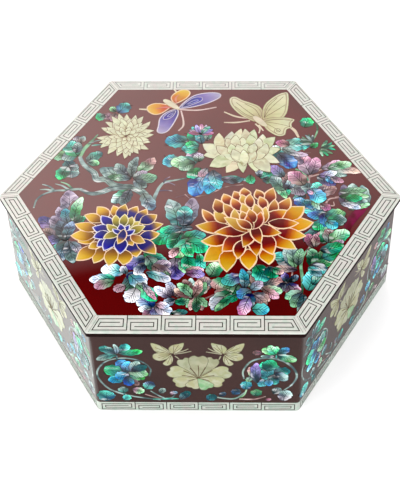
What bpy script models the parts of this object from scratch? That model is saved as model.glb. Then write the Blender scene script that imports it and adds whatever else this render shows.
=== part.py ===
# Hexagonal lacquered box with a lift-off lid and mother-of-pearl borders.
#
# Metres, +Z up. The origin is the middle of the underside, and the front side faces -Y.
# The box is six mitred boards round a floor. The lid is one board, with six strips under it that
# drop inside the walls. Strips of shell lie in rebates round the lid's top and the walls' foot.
# A hexagon is given by its apothem, the distance from its centre to the middle of a side.

import math

import bmesh
import bpy
from mathutils import Matrix

# Driving dimensions
LID_ACROSS_CORNERS = 0.220
TOTAL_HEIGHT = 0.070

LID_THICKNESS = 0.0045
LID_OVERHANG = 0.0020  # how far the lid stands out past the walls
LID_ARRIS_RADIUS = 0.0012  # rounding under the lid's edge
LID_CORNER_EXTRA = 0.0004  # how much rounder the lid's six corners are than that

WALL_THICKNESS = 0.0070
WALL_CORNER_RADIUS = 0.0030

FLOOR_THICKNESS = 0.0050
FLOOR_LET_IN = 0.0030  # how far the floor's edge reaches into the walls

RIM_THICKNESS = 0.0050
RIM_HEIGHT = 0.0080
RIM_CLEARANCE = 0.0007  # slack between the lid's rim and the walls

SHELL_THICKNESS = 0.0008
LID_BORDER_WIDTH = 0.0110
FOOT_BORDER_HEIGHT = 0.0075

SEAT_GAP = 0.0003  # glue line, and the gap between faces that touch
CUTTER_MARGIN = 0.0020  # how far a cutter runs past what it cuts
ARC_SEGMENTS = 6

# Sizes that follow from them
HALF_CORNER = math.radians(30)  # half the turn from one side to the next
LID_APOTHEM = LID_ACROSS_CORNERS / 2 * math.cos(HALF_CORNER)
LID_CORNER_RADIUS = LID_ARRIS_RADIUS + LID_CORNER_EXTRA
WALL_APOTHEM = LID_APOTHEM - LID_OVERHANG
CAVITY_APOTHEM = WALL_APOTHEM - WALL_THICKNESS
WALL_TOP = TOTAL_HEIGHT - LID_THICKNESS - SEAT_GAP
SHELL_REBATE = SHELL_THICKNESS + SEAT_GAP

# Each side's turn about Z from the front, in degrees
SIDES = {
    "front": 0,
    "front_right": 60,
    "back_right": 120,
    "back": 180,
    "back_left": 240,
    "front_left": 300,
}


def clear_scene():
    for old in list(bpy.data.objects):
        bpy.data.objects.remove(old, do_unlink=True)


def new_collection(name):
    made = bpy.data.collections.new(name)
    bpy.context.scene.collection.children.link(made)
    return made


def new_material(name, colour, roughness):
    made = bpy.data.materials.new(name)
    made.use_nodes = True
    shader = made.node_tree.nodes["Principled BSDF"]
    shader.inputs["Base Color"].default_value = (*colour, 1.0)
    shader.inputs["Roughness"].default_value = roughness
    shader.inputs["Metallic"].default_value = 0.0
    shader.inputs["Coat Weight"].default_value = 0.6
    made.diffuse_color = (*colour, 1.0)
    return made


# Shapes

def hexagon(name, apothem, bottom, top, corner_radius=0.0, arris_radius=0.0):
    """A hexagonal prism with a flat side to the front.

    The corner radius rounds its upright edges, and the arris radius its lower outline.
    """
    shape = bmesh.new()
    radius = apothem / math.cos(HALF_CORNER)
    bmesh.ops.create_cone(
        shape, cap_ends=True, segments=6, radius1=radius, radius2=radius, depth=top - bottom
    )
    bmesh.ops.rotate(shape, verts=shape.verts, matrix=Matrix.Rotation(HALF_CORNER, 3, "Z"))
    bmesh.ops.translate(shape, verts=shape.verts, vec=(0, 0, (top + bottom) / 2))
    if corner_radius > 0:
        upright = [e for e in shape.edges if e.verts[0].co.z != e.verts[1].co.z]
        round_edges(shape, upright, corner_radius * math.tan(HALF_CORNER))
    if arris_radius > 0:
        middle = (top + bottom) / 2
        lower = [e for e in shape.edges if all(v.co.z < middle for v in e.verts)]
        round_edges(shape, lower, arris_radius)
    return mesh_object(name, shape)


def round_edges(shape, edges, offset):
    rounded = bmesh.ops.bevel(
        shape, geom=edges, offset=offset, offset_type="OFFSET", segments=ARC_SEGMENTS,
        profile=0.5, affect="EDGES",
    )
    for face in rounded["faces"]:
        face.smooth = True


def sector(name, reach, bottom, top):
    """The front sixth of a hexagon, an equilateral triangle set in from both mitres by half a glue line."""
    shape = bmesh.new()
    radius = reach * 2 / 3
    apex = SEAT_GAP / 2 / math.sin(HALF_CORNER)
    bmesh.ops.create_cone(
        shape, cap_ends=True, segments=3, radius1=radius, radius2=radius, depth=top - bottom
    )
    bmesh.ops.translate(shape, verts=shape.verts, vec=(0, -apex - radius, (top + bottom) / 2))
    return mesh_object(name, shape)


def mesh_object(name, shape):
    mesh = bpy.data.meshes.new(name)
    shape.to_mesh(mesh)
    shape.free()
    return bpy.data.objects.new(name, mesh)


def as_helper(helper):
    """Puts a cutter or a template where it is seen as a wire and never rendered."""
    helpers.objects.link(helper)
    helper.hide_render = True
    helper.display_type = "WIRE"
    return helper


def boolean(target, other, operation):
    modifier = target.modifiers.new(operation.title(), "BOOLEAN")
    modifier.operation = operation
    modifier.object = other
    return target


def ring(name, outer, inner, bottom, top, outer_radius=0.0, inner_radius=0.0):
    """A hexagonal prism with a hexagonal hole right through it."""
    made = as_helper(hexagon(name, outer, bottom, top, outer_radius))
    hole = as_helper(
        hexagon(f"{name}_hole", inner, bottom - CUTTER_MARGIN, top + CUTTER_MARGIN, inner_radius)
    )
    return boolean(made, hole, "DIFFERENCE")


# Placing

def solid_mesh(template, name, material):
    """The template's mesh after its cuts, with its material."""
    bpy.context.view_layer.update()
    graph = bpy.context.evaluated_depsgraph_get()
    mesh = bpy.data.meshes.new_from_object(template.evaluated_get(graph))
    mesh.name = name
    mesh.materials.clear()
    mesh.materials.append(material)
    return mesh


def place(name, mesh, parent, turn=0):
    piece = bpy.data.objects.new(name, mesh)
    piece.parent = parent
    piece.rotation_euler.z = math.radians(turn)
    parts.objects.link(piece)
    return piece


def place_six(name, ring_shape, bottom, top, material, parent):
    """Mitres the front board out of a ring, and places a copy of it on each side."""
    wedge = sector(
        f"{name}_sector", LID_APOTHEM + CUTTER_MARGIN, bottom - CUTTER_MARGIN, top + CUTTER_MARGIN
    )
    as_helper(wedge)
    boolean(ring_shape, wedge, "INTERSECT")
    board = solid_mesh(ring_shape, name, material)
    for side, turn in SIDES.items():
        place(f"{name}_{side}", board, parent, turn)


# The box

def make_walls(box):
    """Six boards, rebated inside for the floor and outside for the border of shell at the foot."""
    walls = ring("wall", WALL_APOTHEM, CAVITY_APOTHEM, 0, WALL_TOP, WALL_CORNER_RADIUS)
    floor_rebate = hexagon(
        "floor_rebate", CAVITY_APOTHEM + FLOOR_LET_IN, -CUTTER_MARGIN, FLOOR_THICKNESS + SEAT_GAP
    )
    as_helper(floor_rebate)
    shell_rebate = ring(
        "foot_rebate", WALL_APOTHEM + CUTTER_MARGIN, WALL_APOTHEM - SHELL_REBATE,
        -CUTTER_MARGIN, FOOT_BORDER_HEIGHT + SEAT_GAP,
        inner_radius=WALL_CORNER_RADIUS - SHELL_REBATE,
    )
    boolean(walls, floor_rebate, "DIFFERENCE")
    boolean(walls, shell_rebate, "DIFFERENCE")
    place_six("wall", walls, 0, WALL_TOP, lacquer, box)


def make_floor(box):
    floor_apothem = CAVITY_APOTHEM + FLOOR_LET_IN - SEAT_GAP
    floor = as_helper(hexagon("floor_shape", floor_apothem, 0, FLOOR_THICKNESS))
    place("floor", solid_mesh(floor, "floor", lacquer), box)


def make_foot_border(box):
    border = ring(
        "foot_border", WALL_APOTHEM, WALL_APOTHEM - SHELL_THICKNESS, 0, FOOT_BORDER_HEIGHT,
        WALL_CORNER_RADIUS, WALL_CORNER_RADIUS - SHELL_THICKNESS,
    )
    place_six("foot_border", border, 0, FOOT_BORDER_HEIGHT, shell, box)


# The lid, measured up from the face that rests on the walls

def make_lid_board(lid):
    board = as_helper(
        hexagon("lid_shape", LID_APOTHEM, 0, LID_THICKNESS, LID_CORNER_RADIUS, LID_ARRIS_RADIUS)
    )
    rebate = ring(
        "lid_rebate", LID_APOTHEM + CUTTER_MARGIN, LID_APOTHEM - LID_BORDER_WIDTH - SEAT_GAP,
        LID_THICKNESS - SHELL_REBATE, LID_THICKNESS + CUTTER_MARGIN,
    )
    boolean(board, rebate, "DIFFERENCE")
    place("lid_board", solid_mesh(board, "lid_board", lacquer), lid)


def make_lid_border(lid):
    bottom = LID_THICKNESS - SHELL_THICKNESS
    border = ring(
        "lid_border", LID_APOTHEM, LID_APOTHEM - LID_BORDER_WIDTH, bottom, LID_THICKNESS,
        LID_CORNER_RADIUS,
    )
    place_six("lid_border", border, bottom, LID_THICKNESS, shell, lid)


def make_lid_rim(lid):
    """Six strips that keep the lid from sliding off the walls."""
    outer = CAVITY_APOTHEM - RIM_CLEARANCE
    bottom, top = -SEAT_GAP - RIM_HEIGHT, -SEAT_GAP
    rim = ring("lid_rim", outer, outer - RIM_THICKNESS, bottom, top)
    place_six("lid_rim", rim, bottom, top, lacquer, lid)


clear_scene()
parts = new_collection("Hexagonal box")
helpers = new_collection("Helpers")
helpers.hide_render = True
lacquer = new_material("Dark red lacquer", (0.10, 0.006, 0.006), 0.12)
shell = new_material("Mother of pearl", (0.80, 0.77, 0.68), 0.22)

box_frame = bpy.data.objects.new("box_frame", None)
lid_frame = bpy.data.objects.new("lid_frame", None)
parts.objects.link(box_frame)
parts.objects.link(lid_frame)
lid_frame.location.z = WALL_TOP + SEAT_GAP

make_walls(box_frame)
make_floor(box_frame)
make_foot_border(box_frame)
make_lid_board(lid_frame)
make_lid_border(lid_frame)
make_lid_rim(lid_frame)
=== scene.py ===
import math

import bpy
import numpy as np
from mathutils import Matrix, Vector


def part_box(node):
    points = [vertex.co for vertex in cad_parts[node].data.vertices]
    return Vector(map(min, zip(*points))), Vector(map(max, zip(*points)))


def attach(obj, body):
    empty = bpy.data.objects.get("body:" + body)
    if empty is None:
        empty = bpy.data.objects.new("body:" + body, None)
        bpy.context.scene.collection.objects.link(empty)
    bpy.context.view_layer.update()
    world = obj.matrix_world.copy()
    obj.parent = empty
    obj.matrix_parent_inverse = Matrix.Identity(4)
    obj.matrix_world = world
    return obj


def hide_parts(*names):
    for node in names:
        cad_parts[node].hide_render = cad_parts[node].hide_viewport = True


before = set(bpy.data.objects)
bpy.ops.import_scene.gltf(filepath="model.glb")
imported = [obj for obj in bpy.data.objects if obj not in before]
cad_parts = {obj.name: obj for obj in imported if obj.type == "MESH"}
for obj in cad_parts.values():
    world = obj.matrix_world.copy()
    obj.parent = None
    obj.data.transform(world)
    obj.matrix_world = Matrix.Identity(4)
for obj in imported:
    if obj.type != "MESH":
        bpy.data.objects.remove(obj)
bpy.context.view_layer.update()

# Every shape below is worked out in millimetres and written to its mesh in metres.
mm = 0.001
boxSizes = {
    "lidApothem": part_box("lid_board")[1][1] / mm,
    "lidUnder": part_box("lid_board")[0][2] / mm,
    "lidTop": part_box("lid_board")[1][2] / mm,
    "wallApothem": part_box("wall_back")[1][1] / mm,
    "cavityApothem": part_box("wall_back")[0][1] / mm,
    "wallTop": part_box("wall_front")[1][2] / mm,
    "lidBand": (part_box("lid_border_front")[1][1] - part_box("lid_border_front")[0][1]) / mm,
    "footBand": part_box("foot_border_front")[1][2] / mm,
    "wallCorner": 3.0,
    "lidCorner": 1.6,
    "arris": 1.2,
    "polish": 0.38,       # how far the lid's lacquer lies below its highest inlay
    "bandProud": 0.06,    # the band over the lacquer
}
sideTurn = math.radians(60)
slant = math.tan(math.radians(30))
sideNames = ["front", "front_right", "back_right", "back", "back_left", "front_left"]

# How wide the band shows on each side from the front round, as shares of the CAD's band. The lacquer
# comes up over the band's inner edge, and further so at the back.
bandShares = (1.03, 0.9, 0.78, 0.72, 0.78, 0.9)
bandWidths = [share * boxSizes["lidBand"] for share in bandShares]


# Where the band's mitre ends inwards from a corner: with widths w on this side and v on the next
# side, it runs (v - w cos 60) / sin 60 along the side.
def mitreRun(w, v):
    return (v - 0.5 * w) / math.cos(math.radians(30))


# How far each corner of the lacquer field stands from the corner of a plain hexagon. Corner j lies
# j times 60 degrees from +X, between sides j + 1 and j + 2.
def fieldShifts():
    shifts = []
    for j in range(6):
        turns = [-math.pi / 2 + (j + i) * sideTurn for i in (1, 2)]
        normals = np.array([[math.cos(t), math.sin(t)] for t in turns])
        more = [boxSizes["lidBand"] - bandWidths[(j + i) % 6] for i in (1, 2)]
        shifts.append(np.linalg.solve(normals, more))
    return np.array(shifts)


fieldShift = fieldShifts()


# Colours are written as the eye sees them under the studio light, 0 to 255, or more for what gleams.
# They are turned into linear light, and into the share of that light that the surface gives back.
lightShare = 0.415    # for lacquer and ivory
inlayShare = 0.296    # for the inlaid shell


def linear(colour):
    c = np.asarray(colour, float) / 255
    return np.where(c <= 0.04045, c / 12.92, ((c + 0.055) / 1.055) ** 2.4)


def albedo(colour, share=lightShare):
    return linear(colour) * share


# The colours at places u of a run of colours, given as (place, colour) pairs
def colourRun(u, pairs):
    places = [p for p, c in pairs]
    colours = np.array([c for p, c in pairs], float)
    return np.stack([np.interp(u, places, colours[:, k]) for k in range(3)], -1)


# A paint is seven numbers: the tint, the glow that clouds run into, and where its shell was cut.
def paintOf(tint, glow=None, cut=0.0):
    tint = np.asarray(tint, float)
    glow = tint if glow is None else np.asarray(glow, float)
    tint, glow = np.broadcast_arrays(tint, glow)
    return np.concatenate([tint, glow, np.full(tint.shape[:-1] + (1,), float(cut))], -1)


# A plane to draw on: its origin, and its across, up and outward directions, as one 4 x 3 array.
def drawingPlane(origin, across, up):
    across, up = np.asarray(across, float), np.asarray(up, float)
    return np.array([origin, across, up, np.cross(across, up)], float)


def onPlane(plane, x, y, z):
    x, y, z = np.broadcast_arrays(x, y, z)
    return plane[0] + x[..., None] * plane[1] + y[..., None] * plane[2] + z[..., None] * plane[3]


def sideDirections(k):
    turn = -math.pi / 2 + k * sideTurn
    out = np.array([math.cos(turn), math.sin(turn), 0.0])
    return out, np.array([-out[1], out[0], 0.0])


lidHeight = boxSizes["lidTop"] - boxSizes["polish"]
lidPlane = drawingPlane((0, 0, lidHeight), (1, 0, 0), (0, 1, 0))


def bandPlane(k):       # x along side k, y inwards from the lid's edge
    out, along = sideDirections(k)
    height = lidHeight + boxSizes["bandProud"]
    return drawingPlane(out * boxSizes["lidApothem"] + (0, 0, height), along, -out)


def wallPlane(k):       # x along side k, y up from the foot
    out, along = sideDirections(k)
    return drawingPlane(out * boxSizes["wallApothem"], along, (0, 0, 1))


# A stock gathers plates until they become one piece.
def newStock():
    return {"points": [], "paints": [], "corners": [], "sizes": [], "count": 0}


def addFaces(stock, points, paint, faceRows):
    points = np.asarray(points, float).reshape(-1, 3)
    paint = np.asarray(paint, float).reshape(-1, 7)
    stock["points"].append(points)
    stock["paints"].append(np.broadcast_to(paint, (len(points), 7)))
    for rows in faceRows:
        rows = np.atleast_2d(rows)
        stock["corners"].append((rows + stock["count"]).ravel())
        stock["sizes"].append(np.full(len(rows), rows.shape[1]))
    stock["count"] += len(points)


# The quads between neighbouring rows of an n by m grid of points
def gridQuads(n, m, closed=False):
    i, j = np.meshgrid(np.arange(n - 1), np.arange(m if closed else m - 1), indexing="ij")
    nextJ = (j + 1) % m
    return np.stack([i * m + j, (i + 1) * m + j, (i + 1) * m + nextJ, i * m + nextJ], -1).reshape(-1, 4)


def addAttribute(mesh, name, colours):
    layer = mesh.color_attributes.new(name, "FLOAT_COLOR", "POINT")
    values = np.ones((len(colours), 4), np.float32)
    values[:, :3] = colours
    layer.data.foreach_set("color", values.ravel())


def buildPiece(stock, name, material, nodes=()):
    mesh = bpy.data.meshes.new(name)
    points = np.concatenate(stock["points"]) * mm
    corners = np.concatenate(stock["corners"]).astype(np.int32)
    sizes = np.concatenate(stock["sizes"]).astype(np.int32)
    starts = np.concatenate([[0], np.cumsum(sizes)[:-1]]).astype(np.int32)
    mesh.vertices.add(len(points))
    mesh.vertices.foreach_set("co", points.astype(np.float32).ravel())
    mesh.loops.add(len(corners))
    mesh.loops.foreach_set("vertex_index", corners)
    mesh.polygons.add(len(sizes))
    mesh.polygons.foreach_set("loop_start", starts)
    mesh.update(calc_edges=True)
    paints = np.concatenate(stock["paints"])
    addAttribute(mesh, "tint", albedo(paints[:, :3], inlayShare))
    addAttribute(mesh, "glow", albedo(paints[:, 3:6], inlayShare))
    addAttribute(mesh, "cut", np.repeat(paints[:, 6:], 3, axis=1))
    mesh.shade_smooth()
    mesh.set_sharp_from_angle(angle=math.radians(35))
    mesh.materials.append(material)
    mesh.validate()
    piece = bpy.data.objects.new(name, mesh)
    bpy.context.scene.collection.objects.link(piece)
    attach(piece, "root")
    if nodes:
        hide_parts(*nodes)
    print("made", name, len(sizes), "faces")


# Outline of a hexagon with round corners: an arc about each corner's own centre, and a point
# close beside each end of the arc so that the flats stay flat when shaded. An outline of the lid's
# lacquer field has each corner moved by its shift.
def hexOutline(apothem, radius, field=False, steps=7, beside=0.4):
    turn = np.radians(np.linspace(-30, 30, steps))
    corner = np.arange(6)[:, None] * sideTurn
    reach = (apothem - radius) / math.cos(math.radians(30))
    arcX = reach * np.cos(corner) + radius * np.cos(corner + turn)
    arcY = reach * np.sin(corner) + radius * np.sin(corner + turn)

    def off(end, sign):
        way = corner + turn[end] + sign * math.pi / 2
        return arcX[:, [end]] + beside * np.cos(way), arcY[:, [end]] + beside * np.sin(way)

    beforeX, beforeY = off(0, -1)
    afterX, afterY = off(-1, 1)
    x = np.concatenate([beforeX, arcX, afterX], 1) + fieldShift[:, :1] * field
    y = np.concatenate([beforeY, arcY, afterY], 1) + fieldShift[:, 1:] * field
    return x.ravel(), y.ravel()


# A loft through hexagons, made into a piece: each step is (apothem, corner radius, height), and True
# after them where it follows the lacquer field. A ring closes on itself, a board is capped at its
# first and last step.
def buildLoft(steps, name, material, nodes=(), ring=True):
    stock = newStock()
    outlines = [hexOutline(step[0], step[1], len(step) > 3) for step in steps]
    n, m = len(steps), len(outlines[0][0])
    points = [np.stack([x, y, np.full(m, step[2])], 1) for (x, y), step in zip(outlines, steps)]
    if ring:
        faces = [(gridQuads(n + 1, m, closed=True) % (n * m))[:, ::-1]]
    else:
        faces = [gridQuads(n, m, closed=True)[:, ::-1], np.arange(m)[::-1], (n - 1) * m + np.arange(m)]
    addFaces(stock, np.array(points), plain, faces)
    buildPiece(stock, name, material, nodes)


# A quarter round between two flats, as loft steps: from angle start to end about (apothem, height)
def roundSteps(apothem, height, radius, start, end, corner, count=5):
    turn = np.radians(np.linspace(start, end, count))
    return [(apothem + radius * math.cos(t), max(corner + radius * math.cos(t) - radius, 0.05),
             height + radius * math.sin(t)) for t in turn]


# Plates of shell. Each is a cross-section carried along a spine: its sides stand in the lacquer,
# its edges are eased, and its top is flat at the given level over the lacquer.
plateSizes = {
    "sunk": 0.05, "ease": 0.006, "easeFrom": 0.8, "leastHalf": 0.02, "leastMitre": 0.35, "rows": 11,
}


# At every turn the section stands on the mitre, the sum of the two directions that meet there.
def addStrip(stock, plane, spine, half, level, paint, edgeShade=1.0, wide=True):
    p = plateSizes
    way = np.diff(spine, axis=0)
    way /= np.maximum(np.hypot(way[:, 0], way[:, 1]), 1e-9)[:, None]
    before = np.concatenate([way[:1], way])
    after = np.concatenate([way, way[-1:]])
    share = 1 + np.sum(before * after, 1)
    mitre = (before + after) / np.maximum(share, p["leastMitre"])[:, None]
    left = np.stack([-mitre[:, 1], mitre[:, 0]], 1)
    v = np.array([-1, -1, -p["easeFrom"], 0, p["easeFrom"], 1, 1] if wide else [-1, -1, 1, 1])
    rim = np.abs(v) > 0.95
    foot = np.arange(len(v)) % (len(v) - 1) == 0      # the first and the last point of the section
    drop = np.where(rim, p["ease"], 0) if wide else np.zeros(len(v))
    half = np.maximum(np.broadcast_to(half, (len(spine),)), p["leastHalf"])
    x = spine[:, :1] + left[:, :1] * half[:, None] * v
    y = spine[:, 1:] + left[:, 1:] * half[:, None] * v
    z = np.broadcast_to(np.where(foot, -p["sunk"], level - drop), x.shape)
    n, m = x.shape
    paint = np.array(np.broadcast_to(np.atleast_2d(paint)[:, None, :], (n, m, 7)))
    paint[:, rim, :6] *= edgeShade
    faces = [gridQuads(n, m, closed=True), np.arange(m), ((n - 1) * m + np.arange(m))[::-1]]
    addFaces(stock, onPlane(plane, x, y, z), paint, faces)


# Half width along a blade: it swells as u to the power of the first number, and closes as 1 - u to
# the power of the second, with the greatest width taken as 1.
def swelling(u, opening, closing):
    peak = opening / (opening + closing)
    return u ** opening * (1 - u) ** closing / (peak ** opening * (1 - peak) ** closing)


# A blade: a spine bowed to one side as 4 u (1 - u), with the swelling above and a wavy edge.
def addBlade(stock, plane, start, end, width, level, paint, bend=0.0, swell=(0.6, 0.5), wave=0.0,
             phase=0.0, edgeShade=1.0, rows=None):
    u = (1 - np.cos(np.linspace(0, math.pi, rows or plateSizes["rows"]))) / 2
    start, end = np.asarray(start, float), np.asarray(end, float)
    along = end - start
    left = np.array([-along[1], along[0]])
    spine = start + u[:, None] * along + (4 * bend * u * (1 - u))[:, None] * left
    half = width / 2 * swelling(u, *swell) * (1 + wave * np.sin(phase + 6 * math.pi * u))
    if callable(paint):
        paint = paint(u)
    addStrip(stock, plane, spine, half, level, paint, edgeShade)


# A smooth path through chosen points (Catmull-Rom: each stretch leaves a point along the line
# between its two neighbours)
def smoothPath(points, steps=6):
    p = np.asarray(points, float)
    p = np.concatenate([2 * p[:1] - p[1:2], p, 2 * p[-1:] - p[-2:-1]])
    t = np.linspace(0, 1, steps, endpoint=False)[:, None]
    parts = []
    for a, b, c, d in zip(p[:-3], p[1:-2], p[2:-1], p[3:]):
        parts.append(0.5 * (2 * b + (c - a) * t + (2 * a - 5 * b + 4 * c - d) * t ** 2
                            + (3 * b - a - 3 * c + d) * t ** 3))
    return np.concatenate(parts + [p[-2:-1]])


# A plate with an outline of its own, a smooth path through a few points. Rings shrink towards the
# mean of the outline, and the last is its flat middle.
shapeRings = {"shares": (1.0, 0.92, 0.5), "edgeShade": 0.75}


def closedPath(points, steps=6):
    p = np.asarray(points, float)
    return smoothPath(np.concatenate([p[-1:], p, p[:2]]), steps)[steps:-steps - 1]


# A plate as rings of points, an outer one first, with its inmost ring closed by a flat
def addPlate(stock, plane, rings, heights, paint):
    n, m = rings.shape[:2]
    z = np.broadcast_to(np.asarray(heights, float)[:, None], (n, m))
    faces = [gridQuads(n, m, closed=True)[:, ::-1], (n - 1) * m + np.arange(m), np.arange(m)[::-1]]
    points = onPlane(plane, rings[..., 0], rings[..., 1], z)
    addFaces(stock, points, np.broadcast_to(paint, (n, m, 7)), faces)


# An outline that turns to the left, moved inwards by the given distance
def inwards(path, distance):
    way = np.roll(path, -1, 0) - np.roll(path, 1, 0)
    way /= np.hypot(way[:, 0], way[:, 1])[:, None]
    return path + distance * np.stack([-way[:, 1], way[:, 0]], 1)


def leftward(path):
    area = np.sum(path[:, 0] * np.roll(path[:, 1], -1) - np.roll(path[:, 0], -1) * path[:, 1])
    return path if area > 0 else path[::-1]


def addShape(stock, plane, outline, level, paint, inset=0.0, edgeShade=None):
    path = inwards(leftward(closedPath(outline)), inset)
    middle = path.mean(0)
    shares = np.array([1.0] + list(shapeRings["shares"]))
    rings = middle + (path - middle)[None] * shares[:, None, None]
    if callable(paint):
        paint = paint(rings)
    paint = np.array(np.broadcast_to(paint, rings.shape[:2] + (7,)))
    paint[:2, :, :6] *= shapeRings["edgeShade"] if edgeShade is None else edgeShade
    heights = [-plateSizes["sunk"], level - plateSizes["ease"]] + [level] * (len(shares) - 2)
    addPlate(stock, plane, rings, heights, paint)


def addStem(stock, plane, points, widths, level, paint, edgeShade=0.7):
    spine = smoothPath(points)
    half = np.interp(np.linspace(0, 1, len(spine)), np.linspace(0, 1, len(widths)), widths) / 2
    addStrip(stock, plane, spine, half, level, paint, edgeShade)


def addLine(stock, plane, points, width, level, paint):
    addStrip(stock, plane, np.asarray(points, float), width / 2, level, paint, wide=False)


# Materials
def shaderOf(name):
    material = bpy.data.materials.new(name)
    material.use_nodes = True
    nodes, links = material.node_tree.nodes, material.node_tree.links
    return material, nodes, links, nodes["Principled BSDF"]


def setGloss(shader, look):
    shader.inputs["Roughness"].default_value = look["roughness"]
    shader.inputs["Specular IOR Level"].default_value = look["specular"]
    shader.inputs["Coat Weight"].default_value = look["coat"]
    shader.inputs["Coat Roughness"].default_value = look["coatRoughness"]
    shader.inputs["Coat IOR"].default_value = look.get("coatIor", 1.5)


def addNoise(nodes, links, vector, scale, detail=3.0, distortion=0.0):
    noise = nodes.new("ShaderNodeTexNoise")
    noise.inputs["Scale"].default_value = scale
    noise.inputs["Detail"].default_value = detail
    noise.inputs["Distortion"].default_value = distortion
    links.new(vector, noise.inputs["Vector"])
    return noise.outputs["Fac"]


def addRange(nodes, links, value, fromLow, fromHigh, toLow=0.0, toHigh=1.0):
    spread = nodes.new("ShaderNodeMapRange")
    numbers = {"From Min": fromLow, "From Max": fromHigh, "To Min": toLow, "To Max": toHigh}
    for name, number in numbers.items():
        spread.inputs[name].default_value = number
    links.new(value, spread.inputs["Value"])
    return spread.outputs["Result"]


def addMix(nodes, links, share, first, second, blend="MIX"):
    mix = nodes.new("ShaderNodeMix")
    mix.data_type = "RGBA"
    mix.blend_type = blend
    for name, value in (("Factor", share), ("A", first), ("B", second)):
        if isinstance(value, (int, float, tuple)):
            mix.inputs[name].default_value = value
        else:
            links.new(value, mix.inputs[name])
    return mix.outputs["Result"]


lacquerLook = {"colour": (92, 2, 3), "deep": 0.86, "light": 1.08, "cloudScale": 22, "speckScale": 2600,
               "roughness": 0.3, "specular": 0.0, "coat": 0.48, "coatRoughness": 0.03}
wallGloss = {"coat": 0.6, "coatIor": 1.3}      # mirrors little from the front and much at a slant
wallLook = dict(lacquerLook, colour=(60, 36, 32), **wallGloss)


def makeLacquer(name, look):
    material, nodes, links, shader = shaderOf(name)
    place = nodes.new("ShaderNodeTexCoord").outputs["Object"]
    cloud = addRange(nodes, links, addNoise(nodes, links, place, look["cloudScale"], 4), 0.3, 0.7)
    deep = (*albedo(np.array(look["colour"]) * look["deep"]), 1)
    light = (*albedo(np.array(look["colour"]) * look["light"]), 1)
    clouded = addMix(nodes, links, cloud, deep, light)
    speck = addRange(nodes, links, addNoise(nodes, links, place, look["speckScale"], 1), 0.3, 0.7, 0.9, 1.1)
    shade = nodes.new("ShaderNodeHueSaturation")
    links.new(clouded, shade.inputs["Color"])
    links.new(speck, shade.inputs["Value"])
    links.new(shade.outputs["Color"], shader.inputs["Base Color"])
    setGloss(shader, look)
    return material


ivoryLook = {"pale": (224, 228, 218), "pink": (223, 220, 213), "green": (206, 220, 207), "cloudScale": 150,
             "roughness": 0.35, "specular": 0.0, "coat": 0.44, "coatRoughness": 0.05}


footLook = dict(ivoryLook, pale=(198, 212, 200), pink=(200, 202, 192), green=(184, 206, 190), **wallGloss)


def makeIvory(name, look):
    material, nodes, links, shader = shaderOf(name)
    place = nodes.new("ShaderNodeTexCoord").outputs["Object"]
    first = addRange(nodes, links, addNoise(nodes, links, place, look["cloudScale"], 4, 0.8), 0.4, 0.62)
    second = addRange(nodes, links, addNoise(nodes, links, place, look["cloudScale"] * 2.3, 3), 0.48, 0.66)
    base = addMix(nodes, links, first, (*albedo(look["pale"]), 1), (*albedo(look["pink"]), 1))
    clouded = addMix(nodes, links, second, base, (*albedo(look["green"]), 1))
    links.new(clouded, shader.inputs["Base Color"])
    setGloss(shader, look)
    return material


# Shell between tint and glow: clouds and fine streaks pick the share, a few spots flash white as
# painted glints (a painted highlight), and every plate reads the clouds at its own cut, so that neighbours
# never run on into each other.
def makeShell(name, look):
    material, nodes, links, shader = shaderOf(name)

    def layer(title):
        node = nodes.new("ShaderNodeVertexColor")
        node.layer_name = title
        return node.outputs["Color"]

    tint, glow, cut = [layer(title) for title in ("tint", "glow", "cut")]
    moved = nodes.new("ShaderNodeVectorMath")
    moved.operation = "ADD"
    links.new(nodes.new("ShaderNodeTexCoord").outputs["Object"], moved.inputs[0])
    links.new(cut, moved.inputs[1])
    at = moved.outputs["Vector"]
    stretch = nodes.new("ShaderNodeMapping")
    stretch.inputs["Scale"].default_value = look["stretch"]
    links.new(at, stretch.inputs["Vector"])
    clouds = addRange(nodes, links, addNoise(nodes, links, at, look["cloudScale"], 1.5, 0.5), 0.4, 0.62)
    streaks = addNoise(nodes, links, stretch.outputs["Vector"], 1.0, 1.5, 0.5)
    base = addMix(nodes, links, clouds, tint, glow)
    # painted highlight: where the streaks run high, the shell is mixed towards white as a painted glint
    paintedGlint = addRange(nodes, links, streaks, look["paintedGlintFrom"], look["paintedGlintFrom"] + 0.12, 0, look["paintedGlint"])
    white = (*albedo((255, 255, 255), inlayShare * 1.3), 1)
    lit = addMix(nodes, links, paintedGlint, base, white)
    shade = nodes.new("ShaderNodeHueSaturation")
    links.new(lit, shade.inputs["Color"])
    gain, vary, turn = look["gain"], look["vary"], look["hueVary"]
    fine = addRange(nodes, links, streaks, 0.3, 0.7, gain * (1 - vary), gain * (1 + vary))
    links.new(fine, shade.inputs["Value"])
    hues = addNoise(nodes, links, at, look["hueScale"], 2)
    links.new(addRange(nodes, links, hues, 0.3, 0.7, 0.5 - turn, 0.5 + turn), shade.inputs["Hue"])
    links.new(shade.outputs["Color"], shader.inputs["Base Color"])
    setGloss(shader, look)
    return material


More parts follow.
